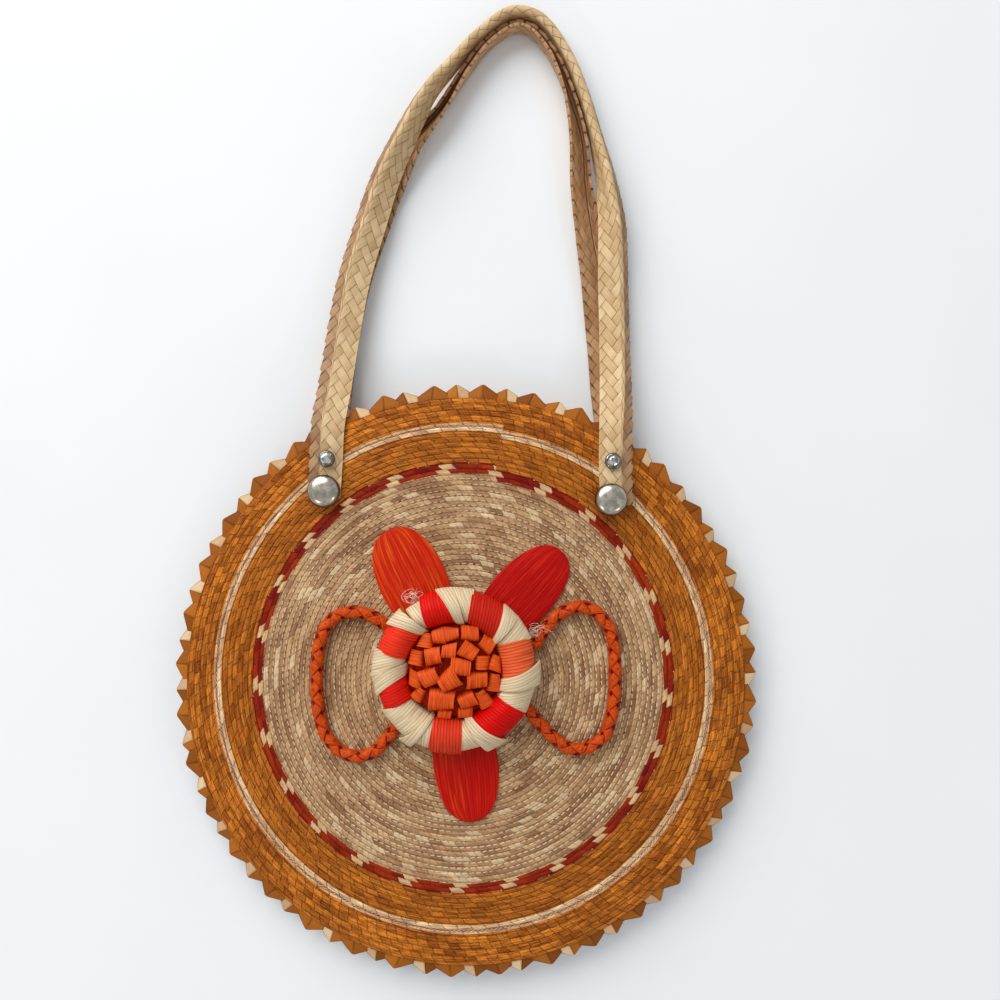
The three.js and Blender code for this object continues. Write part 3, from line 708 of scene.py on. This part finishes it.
class Shape:
    """Grids of points that are joined into one closed mesh wherever they touch."""

    def __init__(self):
        self.points = []
        self.coords = []
        self.faces = []
        self.count = 0

    def grid(self, points, coords):
        lines, columns = points.shape[:2]
        index = np.arange(lines * columns).reshape(lines, columns) + self.count
        corners = [index[:-1, :-1], index[1:, :-1], index[1:, 1:], index[:-1, 1:]]
        self.faces.append(np.stack(corners, -1).reshape(-1, 4))
        self.points.append(points.reshape(-1, 3))
        self.coords.append(coords.reshape(-1, 2))
        self.count += lines * columns

    def sheet(self, over, under, coords):
        """A thin strip with a top, an underside and four edges."""
        def loop(top, low):
            return np.concatenate([top, low[:, ::-1], top[:, :1]], axis=1)

        middle = (over + under) / 2
        first = loop(middle[:1], middle[:1])
        last = loop(middle[-1:], middle[-1:])
        marks = loop(coords, coords)
        whole = np.concatenate([first, loop(over, under), last])
        self.grid(whole, np.concatenate([marks[:1], marks, marks[-1:]]))

    def tube(self, rings, coords):
        """A row of closed rings with its two ends filled."""
        first = np.repeat(rings[:1].mean(axis=1, keepdims=True), rings.shape[1], axis=1)
        last = np.repeat(rings[-1:].mean(axis=1, keepdims=True), rings.shape[1], axis=1)
        whole = np.concatenate([first, rings, last])
        marks = np.concatenate([coords[:1], coords, coords[-1:]])
        whole = np.concatenate([whole, whole[:, :1]], axis=1)
        marks = np.concatenate([marks, marks[:, :1]], axis=1)
        self.grid(whole, marks)

    def lathe(self, profile, centre, sides, upward=1):
        """Turns a profile of (radius, height) round a standing axis."""
        angle = np.linspace(0, 2 * math.pi, sides + 1)
        radius = np.array([row[0] for row in profile])[:, None]
        height = np.array([row[1] for row in profile])[:, None]
        x = centre[0] + radius * np.cos(angle)
        y = centre[1] + radius * np.sin(angle)
        self.grid(stack(x, y, centre[2] + upward * height), stack(radius + 0 * angle, height))

    def piece(self, name, material, slot, replaces=(), sharp=40):
        """Makes the mesh and its object. Edges that turn by more than sharp degrees stay sharp."""
        points = np.concatenate(self.points) * MM
        coords = np.concatenate(self.coords)
        faces = np.concatenate(self.faces)
        mesh = bpy.data.meshes.new(name)
        mesh.from_pydata(points.tolist(), [], faces.tolist())
        layer = mesh.uv_layers.new(name="weave")
        layer.data.foreach_set("uv", coords[faces.ravel()].astype(np.float32).ravel())
        solid = bmesh.new()
        solid.from_mesh(mesh)
        bmesh.ops.remove_doubles(solid, verts=solid.verts, dist=1e-6)
        bmesh.ops.recalc_face_normals(solid, faces=solid.faces)
        solid.to_mesh(mesh)
        solid.free()
        mesh.polygons.foreach_set("use_smooth", [True] * len(mesh.polygons))
        mesh.set_sharp_from_angle(angle=math.radians(sharp))
        mesh.materials.append(material)
        made = add_object(name, mesh)
        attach(made, "root")
        if replaces:
            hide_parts(*replaces)
        return made


def smoothstep(value, low, high):
    share = np.clip((value - low) / (high - low), 0, 1)
    return share * share * (3 - 2 * share)


def through(points, at):
    """Places on a centripetal curve through points. at counts the points from 0."""
    rows = np.asarray(points, float)
    rows = np.concatenate([[2 * rows[0] - rows[1]], rows, [2 * rows[-1] - rows[-2]]])
    first = np.clip(np.floor(at).astype(int), 0, len(points) - 2)
    share = (at - first)[:, None]
    before, start, end, after = (rows[first + k] for k in range(4))
    roots = np.sqrt(np.linalg.norm(np.diff(rows, axis=0), axis=1))[:, None]
    gap0, gap1, gap2 = (roots[first + k] for k in range(3))
    leave = ((start - before) / gap0 - (end - before) / (gap0 + gap1) + (end - start) / gap1) * gap1
    arrive = ((end - start) / gap1 - (after - start) / (gap1 + gap2) + (after - end) / gap2) * gap1
    square = -3 * start + 3 * end - 2 * leave - arrive
    cube = 2 * start - 2 * end + leave + arrive
    return start + leave * share + square * share**2 + cube * share**3


def lengths_along(line):
    """Length of a line of points up to each of them."""
    return np.concatenate([[0], np.cumsum(np.linalg.norm(np.diff(line, axis=0), axis=1))])


def even_steps(points, step):
    """Counts along a curve through points that are about step apart, and the length up to each."""
    fine = np.linspace(0, len(points) - 1, 200 * len(points))
    lengths = lengths_along(through(points, fine))
    marks = np.linspace(0, lengths[-1], int(lengths[-1] / step) + 1)
    return np.interp(marks, lengths, fine), marks


def unit(vectors):
    return vectors / np.linalg.norm(vectors, axis=-1, keepdims=True)


def front_over(x, y):
    """Height of the front disc's outside."""
    across = y / DISC_STRETCH
    radius = np.hypot(x, across)
    away = np.abs(np.arctan2(x, across))
    mouth = 1 - smoothstep(away, MOUTH_FULL, MOUTH_SHUT)
    lift = MOUTH_LIFT * mouth * smoothstep(radius, MOUTH_START, DISC_RADIUS)
    return FRONT_MIDDLE - FRONT_FALL * (radius / DISC_RADIUS) ** FRONT_POWER + lift


def back_under(x, y):
    """Height of the back disc's outside."""
    return BACK_RISE * smoothstep(np.hypot(x, y / DISC_STRETCH), BACK_FLAT, BACK_TURN)


def disc_place(radius, bearing):
    return radius * np.sin(bearing), radius * np.cos(bearing) * DISC_STRETCH


def row_radius(count):
    return np.interp(count, ROW_COUNTS, ROW_RADII)


def cells_along(row, turn):
    """Count of woven cells along the spiral up to a turn of a row."""
    if row >= RED_START:
        return (row + turn) * next(count for limit, count in CELL_COUNTS if row < limit)
    counts = np.linspace(0, ROWS, 20 * ROWS + 1)
    radii = row_radius(counts)
    steps = math.pi * (radii[1:] + radii[:-1]) * np.diff(counts)
    return np.interp(row + turn, counts, np.concatenate([[0], np.cumsum(steps)])) / CELL_LENGTH


def woven_disc(outer, outward, segments, shares):
    """A disc of spiral rows. outward is 1 where the outside faces up and -1 where it faces down."""
    shape = Shape()
    angle = np.linspace(0, 2 * math.pi, segments + 1)
    turn = angle / (2 * math.pi)
    bearing = SEAM + angle
    across = np.array(shares)[:, None]
    crown = 1 - np.abs(2 * across - 1) ** 6
    for row in range(-1, ROWS):
        fade = 1
        if row < 0:
            radius = across * row_radius(turn)
            fade = turn
        elif row == ROWS - 1:
            inside = row_radius(row + turn)
            radius = inside + across * (DISC_RADIUS - inside)
            fade = 1 - turn
        else:
            radius = row_radius(row + across + turn)
        cells = cells_along(max(row, 0), turn)
        waves = np.sin(math.pi * ((cells + CELL_SLANT * across) % 1))
        calm = np.minimum(1, 80 * np.minimum(turn, 1 - turn)) * (row > 0)
        relief = ROW_DEPTH * crown * fade * (1 - calm * 0.3 * (1 - waves))
        x, y = disc_place(radius, bearing)
        shift = 1 - smoothstep(radius, SPIRAL_EVEN, DISC_RADIUS)
        x = x + SPIRAL_X * shift
        y = y + SPIRAL_Y * shift
        z = outer(x, y) + outward * (relief - ROW_DEPTH)
        shape.grid(stack(x, y, z), np.maximum(stack(cells, row + across), 0))
    rings = []
    marks = []
    wall = [(radius, DISC_WALL) for radius in (DISC_RADIUS, *WALL_RINGS)]
    for radius, sink in [(DISC_RADIUS, ROW_DEPTH), *wall]:
        x, y = disc_place(radius, bearing)
        rings.append(stack(x, y, outer(x, y) - outward * sink))
        marks.append(stack(turn * WALL_CELLS, radius / WALL_ROW))
    shape.grid(np.array(rings), np.array(marks))
    return shape


def toothed_edge():
    """Folded palm points between the discs: wide and narrow in turn, a small pale one in each pair."""
    shape = Shape()
    seeded = np.random.default_rng(5)
    rise = np.array([-1, 0, 0.3, 0.6, 0.85, 1])[:, None]
    side = np.linspace(-1, 1, 9)[None, :]
    pitch = 2 * math.pi / TEETH
    plan = []
    for tooth in range(TEETH):
        middle = TOOTH_TURN + tooth * pitch + math.radians(seeded.uniform(-0.35, 0.35))
        wide = tooth % 2 == 0
        tip = (WIDE_TIP if wide else NARROW_TIP) + seeded.uniform(-0.6, 0.4)
        half = WIDE_HALF if wide else NARROW_HALF
        plan.append((tooth, 0 if wide else 1, middle, half, tip, TOOTH_RIDGE))
        if wide:
            plan.append((tooth, 2, middle + PALE_PLACE * pitch, PALE_HALF, PALE_TIP, PALE_RIDGE))
    for tooth, kind, middle, half, tip, ridge in plan:
        lift = -0.1 if kind == 2 else 0.3 * (1 - kind)
        lean = seeded.uniform(-0.15, 0.15) * half
        reach = np.clip(rise, 0, 1)
        bearing = middle + half * side * (1 - 0.94 * reach) + lean * reach
        tucked = np.minimum(rise, 0) * (TOOTH_FOOT - TRIM_INNER)
        radius = TOOTH_FOOT + (tip - TOOTH_FOOT) * reach + tucked
        x, y = disc_place(radius, bearing)
        edge_x, edge_y = disc_place(np.minimum(radius, DISC_RADIUS), bearing)
        foot = front_over(edge_x, edge_y) - TRIM_DROP + lift
        top = foot + ridge * (1 - np.abs(side)) * (1 - reach) * np.where(rise < 0, 0, 1) - 0.5 * reach
        under = foot - TRIM_WALL + 0.4 * reach
        coords = stack(tooth + 0.5 + 0.45 * side, 2 * kind + np.clip(rise, 0.02, 0.98))
        shape.sheet(stack(x, y, top), stack(x, y, under), coords)
    return shape


def plait_height(run, across):
    """Height of the plait's upper strand, from 0 where it dives under another to 1."""
    first = (run + across) * math.sqrt(0.5)
    second = (run - across) * math.sqrt(0.5)
    lane = np.floor(first)
    other = np.floor(second)
    over = np.mod(lane - other, 4) < 1.5
    along = np.where(over, np.mod(first - other, 4), np.mod(second - lane + 3, 4))
    cross = np.where(over, second - other, first - lane)
    return (1 - np.abs(along - 1) ** 4) * (1 - np.abs(2 * cross - 1) ** 6)


def ramp(before, steps, after):
    """A row of columns that are 0, then rise to 1 in even steps, then stay 1."""
    return np.concatenate([np.zeros(before), np.linspace(0, 1, steps + 1)[1:], np.ones(after)])[None, :]


def strap(rows, upward):
    """A plaited strap folded lengthwise. upward is 1 for the front strap and -1 for the back one."""
    rows = np.array(rows, float)
    at, run = even_steps(rows[:, :3], STRAP_STEP)
    line = through(rows[:, :3], at)
    counts = np.arange(len(rows))
    tilt = np.radians(np.interp(at, counts, rows[:, 3]))[:, None]
    turn = math.pi - np.radians(np.interp(at, counts, rows[:, 4]))[:, None]
    heading = np.gradient(line, axis=0)
    outward = unit(stack(-heading[:, 1], heading[:, 0], 0))
    upright = np.array([0, 0, upward])
    # 14 columns across the wide side, 7 round the fold, 6 across the narrow side
    face = ramp(1, 13, 13)
    bend = ramp(14, 7, 6)
    flange = ramp(21, 6, 0)
    across = face * STRAP_FACE + bend * PLAIT_FOLD + flange * STRAP_FLANGE - PLAIT_SHIFT
    notch = 1.2 * np.mod(run / (math.sqrt(2) * PLAIT_ALONG), 1)[:, None]
    height = plait_height(run[:, None] / PLAIT_ALONG, across / PLAIT_ACROSS)

    def side(offset):
        reach = FOLD_RADIUS + offset
        middle = tilt - turn / 2
        angle = tilt - turn * bend
        out = (FOLD_RADIUS + STRAP_WALL / 2) * np.sin(middle) - reach * np.sin(angle)
        up = -(FOLD_RADIUS + STRAP_WALL / 2) * np.cos(middle) + reach * np.cos(angle)
        back = (1 - face) * STRAP_FACE
        on = flange * (STRAP_FLANGE + 0.8 - notch)
        out = out - back * np.cos(tilt) + on * np.cos(tilt - turn)
        up = up - back * np.sin(tilt) + on * np.sin(tilt - turn)
        return line[:, None] + out[..., None] * outward[:, None] + up[..., None] * upright

    shape = Shape()
    coords = stack(run[:, None] / PLAIT_ALONG, across / PLAIT_ACROSS)
    over = side(STRAP_WALL / 2 + STRAP_RELIEF * (height - 0.6))
    shape.sheet(over, side(-STRAP_WALL / 2), coords)
    return shape


def flower_place(radius, bearing, rise):
    """A place round the flower's middle."""
    x = FLOWER_X + radius * np.sin(bearing)
    y = FLOWER_Y + radius * np.cos(bearing)
    return stack(x, y, FRONT_MIDDLE + rise)


def ribbon(shape, inner_left, inner_right, outer_left, outer_right, lift, stand, crown):
    """Adds a strip of palm laid over the wreath from its inner foot to its outer one."""
    at = np.linspace(0, len(ARCH) - 1, 19)
    line = through(ARCH, at)
    heading = unit(np.gradient(line, axis=0))
    normal = stack(-heading[:, 1], heading[:, 0])
    share = np.linspace(0, 1, 33)[None, :]
    reach = smoothstep(at, 0.5, 6)[:, None]
    left = np.radians(inner_left + (outer_left - inner_left) * reach)
    right = np.radians(inner_right + (outer_right - inner_right) * reach)
    bearing = left + (right - left) * share
    width = line[:, :1] * (right - left)
    ribs = 0.15 * crown * np.abs(np.sin(math.pi * share * RIBBON_RIBS))
    raised = lift + crown * (1 - (2 * share - 1) ** 2) + ribs
    outer = smoothstep(at, 2, 6)[:, None]
    straight = np.cos(0.6 * (right - left) / 2) / np.cos(bearing - (left + right) / 2)

    def side(offset):
        radius = line[:, :1] + normal[:, :1] * offset
        radius = radius * (1 + outer * (straight - 1)) + outer * stand
        rise = line[:, 1:] + normal[:, 1:] * offset
        return flower_place(radius, bearing, rise)

    coords = stack(share * width + inner_left, lengths_along(line)[:, None])
    shape.sheet(side(raised), side(raised - RIBBON_WALL), coords)


def curls():
    """Short strips curled into loops over a round head."""
    shape = Shape()
    seeded = np.random.default_rng(3)
    base = FRONT_MIDDLE + PLATE_OVER + GAP
    # The red head fills the gaps between the curls, standing in for the shade there
    shape.lathe(CURL_HEAD, (FLOWER_X, FLOWER_Y, base), 32)
    angle = np.linspace(0, math.pi, 17)[:, None]
    share = np.linspace(-1, 1, 9)[None, :]
    for number, (x, y, turn, length, span, crown) in enumerate(CURLS):
        taper = seeded.uniform(-0.3, 0.3)
        skew = seeded.uniform(-0.2, 0.2)
        way = math.radians(turn)

        def side(inset):
            reach = span / 2 - inset
            arch = CURL_ARCH * span - inset
            round_x = np.sign(np.cos(angle)) * np.abs(np.cos(angle)) ** CURL_ROUND
            out = reach * round_x * (1 + taper * share)
            ribs = 0.08 * np.abs(np.sin(share * 9))
            up = crown - CURL_ARCH * span + arch * np.sin(angle) ** CURL_ROUND + ribs
            foot = np.array([[1.05], [1.0]])
            legs = foot * reach * (1 + taper * share)
            low = np.array([[2.0], [5.0]]) + 0 * share
            out = np.concatenate([legs, out, -legs[::-1]])
            up = np.concatenate([low, up, low[::-1]])
            along = 0.98 * share * length / 2 + skew * out
            local_x = along * math.cos(way) - out * math.sin(way)
            local_y = along * math.sin(way) + out * math.cos(way)
            height = up / crown
            up = up - CURL_TILT * height * (local_x * x + local_y * y)
            place_x = FLOWER_X + x * (1 + CURL_LEAN * height) + local_x
            place_y = FLOWER_Y + y * (1 + CURL_LEAN * height) + local_y
            return stack(place_x, place_y, base + up)

        over = side(0)
        run = lengths_along(over[:, 4])[:, None]
        coords = stack(share * length / 2 + 31 * number, run)
        shape.sheet(over, side(CURL_WALL), coords)
    return shape


def leaf(base_x, base_y, tip_x, tip_y, half):
    """A bowed leaf that lies on the front disc."""
    shape = Shape()
    profile = through(LEAF, np.linspace(0, len(LEAF) - 1, 41))
    along = profile[:, :1]
    spread = profile[:, 1:]
    share = np.linspace(-1, 1, 31)[None, :]
    base = np.array([base_x, base_y])
    way = np.array([tip_x, tip_y]) - base
    length = np.linalg.norm(way)
    side = np.array([way[1], -way[0]]) / length
    x = base[0] + way[0] * along + side[0] * share * spread * half
    y = base[1] + way[1] * along + side[1] * share * spread * half
    ribs = 0.1 * np.abs(np.sin(share * 19))
    z = front_over(x, y) + LEAF_GAP + LEAF_CAMBER * spread * (1 - share**2)
    coords = stack(share * half * (0.4 + 0.6 * spread), along * length)
    shape.sheet(stack(x, y, z + LEAF_WALL + ribs), stack(x, y, z), coords)
    return shape


def round_rings(line, side, upward, radius, sides):
    """Rings of points round a line."""
    around = np.linspace(0, 2 * math.pi, sides, endpoint=False)[None, :, None]
    return line[:, None] + radius * (side[:, None] * np.cos(around) + upward[:, None] * np.sin(around))


def cord_loop(rows):
    """Four strands plaited round a core on the front disc. Gives the shape, the route and its length."""
    shape = Shape()
    route = np.array([(x, y, front_over(x, y) + GAP + CORD_RADIUS) for x, y in rows])
    at, run = even_steps(route, CORD_STEP)
    line = through(route, at)
    heading = unit(np.gradient(line, axis=0))
    side = unit(np.cross(heading, [0, 0, 1]))
    upward = np.cross(side, heading)
    around = np.linspace(0, 2 * math.pi, CORD_SIDES, endpoint=False)[None, :, None]
    core = round_rings(line, side, upward, CORD_CORE, CORD_SIDES)
    shape.tube(core, stack(run[:, None], np.zeros(core.shape[:2])))
    for hand in (1, -1):
        for phase in (0, math.pi):
            angle = hand * 2 * math.pi * run / CORD_LAY + phase + math.pi / 4 * (1 + hand)
            top = math.radians(90 + 45 * hand)
            weave = np.cos(2 * (angle - top))[:, None]
            radial = side * np.cos(angle)[:, None] + upward * np.sin(angle)[:, None]
            middle = line + radial * (STRAND_RING + STRAND_WEAVE * weave)
            strand = unit(np.gradient(middle, axis=0))
            wide = unit(np.cross(strand, radial))
            thick = np.cross(wide, strand)
            ring = thick[:, None] * STRAND_THICK * np.cos(around)
            ring = ring + wide[:, None] * STRAND_WIDE * np.sin(around)
            rings = middle[:, None] + ring
            # The second coordinate is the distance from a crevice, which sets the painted shade in the cord's
            # material
            crest = np.clip(np.cos(around[..., 0]), 0, 1) * (0.86 + 0.14 * weave)
            shape.tube(rings, stack(run[:, None] + 50 * phase, crest))
    return shape, line, run[-1]


def thread_tuft(centre, spread, count, seed):
    """Loose ends of sewing thread that curl out of the flower."""
    shape = Shape()
    seeded = np.random.default_rng(seed)
    share = np.linspace(0, 1, 26)[:, None]
    for _ in range(count):
        swing = seeded.uniform(-1, 1, (3, 3)) * np.array(spread)
        phase = seeded.uniform(0, 2 * math.pi, (3, 1, 3))
        line = np.array(centre) + sum(
            swing[k] * np.sin(share * (3 + 3 * k) + phase[k]) / (1 + k) for k in range(3)
        )
        heading = unit(np.gradient(line, axis=0))
        side = unit(np.cross(heading, [0.3, 0.2, 1]))
        upward = np.cross(side, heading)
        rings = round_rings(line, side, upward, THREAD_RADIUS, 5)
        shape.tube(rings, np.zeros((*rings.shape[:2], 2)))
    return shape


# Discs and toothed edge
ROW_SHARES = (0, 0.12, 0.5, 0.88, 1)
front = woven_disc(front_over, 1, 400, ROW_SHARES)
front.piece("woven_front", weave_look("front_weave"), "palm_disc", ["front_disc"], 70)
back = woven_disc(back_under, -1, 240, (0, 0.15, 0.85, 1))
back.piece("woven_back", weave_look("back_weave"), "palm_disc", ["back_disc"], 70)
toothed_edge().piece("folded_teeth", tooth_look("folded_palm"), "palm_orange", ["edge_teeth"], 25)

# Straps
FRONT_FACE = [(196, 160, 112), (230, 200, 156)]
FRONT_FLANGE = [(144, 106, 76), (188, 150, 112)]
# The back strap's colours are darker than the front's: partly its own inner side, partly painted shade, as it
# lies under the front strap
BACK_FACE = [(182, 134, 92), (216, 174, 130)]
BACK_FLANGE = [(150, 108, 74), (190, 146, 106)]
front_plait = plait_look("front_plait", FRONT_FACE, FRONT_FLANGE, 0.0)
back_plait = plait_look("back_plait", BACK_FACE, BACK_FLANGE, 1.0)
strap(FRONT_STRAP, 1).piece("plaited_front_handle", front_plait, "palm_straw", ["front_handle"], 60)
strap(BACK_STRAP, -1).piece("plaited_back_handle", back_plait, "palm_straw", ["back_handle"], 60)

# Rivets
nickel = metal_look("satin_nickel", (176, 167, 152), (224, 214, 198), 0.16, DOME_RADIUS)
chrome = metal_look("bezel_chrome", (138, 133, 124), (192, 186, 176), 0.12, STUD_RADIUS)
crystal = stone_look("clear_stone")


def riveted(head):
    """A profile of washer, shank and head, with the head's underside at zero."""
    washer = [(0, -GRIP - 1), (WASHER_RADIUS - 0.2, -GRIP - 1), (WASHER_RADIUS, -GRIP)]
    return [*washer, (SHANK_RADIUS, -GRIP), (SHANK_RADIUS, 0), *head]


def dome(height):
    """The profile of a domed head."""
    cap = []
    for angle in np.linspace(0, math.pi / 2, 9)[:-1]:
        radius = DOME_RADIUS * math.cos(angle) ** 0.55
        cap.append((radius, height * (0.22 + 0.78 * math.sin(angle) ** 1.15)))
    return [(DOME_RADIUS - 0.3, 0), (DOME_RADIUS, 0.1 * height), *cap, (0, height)]


for side, dome_x, dome_y, stud_x, stud_y in RIVETS:
    parts = [
        ("dome_rivet", "front_dome_rivet", dome_x, dome_y, 1, dome(DOME_HEIGHT), nickel, "nickel"),
        ("stone_bezel", "front_stone_rivet", stud_x, stud_y, 1, BEZEL, chrome, "stone_nickel"),
        ("back_dome", "back_dome_rivet", dome_x, dome_y, -1, dome(BACK_DOME_HEIGHT), nickel, "nickel"),
        ("back_stud", "back_plain_rivet", stud_x, stud_y, -1, STUD, nickel, "nickel"),
    ]
    for name, solid, x, y, upward, head, material, slot in parts:
        level = front_over(x, y) + STRAP_SEAT if upward > 0 else back_under(x, y) - STRAP_SEAT
        turned = Shape()
        turned.lathe(riveted(head), (x, y, level), RIVET_SIDES, upward)
        turned.piece(f"{name}_{side}", material, slot, [f"{solid}_{side}"], 50)
    stone = Shape()
    stone.lathe(STONE, (stud_x, stud_y, front_over(stud_x, stud_y) + STRAP_SEAT), STONE_SIDES)
    stone.piece(f"clear_stone_{side}", crystal, "stone_nickel", (), 5)

# Flower
straw = fibre_look("straw_pad", (176, 140, 96), (214, 182, 136))
pad = Shape()
pad.lathe(PAD, (FLOWER_X, FLOWER_Y, FRONT_MIDDLE), 48)
pad.piece("flower_pad", straw, "palm_cream", ["flower_base"], 40)
flame = flame_look("flame_palm")
curls().piece("curled_middle", flame, "palm_flame", ["flower_curls"], 40)
for number, (edges, dark, light, ribs) in enumerate(WRAPS, 1):
    wrap = Shape()
    ribbon(wrap, *edges, 0.8)
    material = fibre_look(f"red_palm_{number}", dark, light, None, ribs)
    wrap.piece(f"red_ribbon_{number}", material, "palm_red", [f"red_wrap_{number}"], 50)
cream = fibre_look("cream_palm", (206, 176, 136), (240, 220, 184), None, 0.1, 0.38)
for number, strips in enumerate(FOLDS, 1):
    fold = Shape()
    for edges in strips:
        ribbon(fold, *edges, 0.3)
    fold.piece(f"cream_ribbon_{number}", cream, "palm_cream", [f"cream_fold_{number}"], 50)
for name, sizes, dyes in LEAVES:
    material = fibre_look(f"palm_{name}", *dyes, 0.12, one_side=name == "leaf_bottom")
    leaf(*sizes).piece(f"palm_{name}", material, "palm_red", [name], 50)

# Cord loops, each free between its two ends in the flower
rope = cord_look("plaited_palm")
for side, rows in (("left", LEFT_LOOP), ("right", RIGHT_LOOP)):
    strands, line, length = cord_loop(rows)
    loop = strands.piece(f"plaited_loop_{side}", rope, "palm_cord", [f"cord_loop_{side}"], 60)

# Thread ends
thread = thread_look("sewing_thread")
for side, *tuft in THREADS:
    thread_tuft(*tuft).piece(f"thread_tuft_{side}", thread, "palm_cream")

# Floor, light and camera
floor_mesh = bpy.data.meshes.new("floor")
floor_mesh.from_pydata([(-3, -3, 0), (3, -3, 0), (3, 3, 0), (-3, 3, 0)], [], [(0, 1, 2, 3)])
floor_mesh.materials.append(floor_look("pale_table"))
floor = add_object("floor", floor_mesh)
# Just under the bag, so that no two faces share a plane
floor.location = (0, 0, -0.0002)
floor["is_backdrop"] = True
LIGHT_AIM = (0, 0.1, 0)
LIGHT_COLOUR = (1, 0.98, 0.95)


def area_light(name, place, size, power):
    """A round soft light that faces the bag."""
    lamp = bpy.data.lights.new(name, "AREA")
    lamp.shape = "DISK"
    lamp.size = size
    lamp.energy = power
    lamp.color = LIGHT_COLOUR
    made = add_object(name, lamp)
    made.location = place
    way = made.location - Vector(LIGHT_AIM)
    made.rotation_euler = way.to_track_quat("Z", "Y").to_euler()


area_light("window", (-1, 1.78, 1.54), 2.5, 59)
area_light("left_lamp", (-0.5, -0.5, 0.6), 0.19, 0.6)
area_light("right_lamp", (0.52, -0.42, 0.6), 0.16, 0.42)
world = bpy.data.worlds.new("studio")
world.use_nodes = True
world.node_tree.nodes["Background"].inputs["Color"].default_value = (0.93, 0.97, 1, 1)
world.node_tree.nodes["Background"].inputs["Strength"].default_value = 0.5
bpy.context.scene.world = world
bpy.context.scene.view_settings.view_transform = "Standard"

camera_data = bpy.data.cameras.new("camera")
camera_data.sensor_width = 36
camera_data.lens = 38.44
camera = add_object("camera", camera_data)
camera.location = (0.0193, 0.1030, 0.620)
bpy.context.scene.camera = camera

sizes = {"cad": [list(corner) for corner in cad_bounds], "scene": [list(corner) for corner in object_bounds()]}
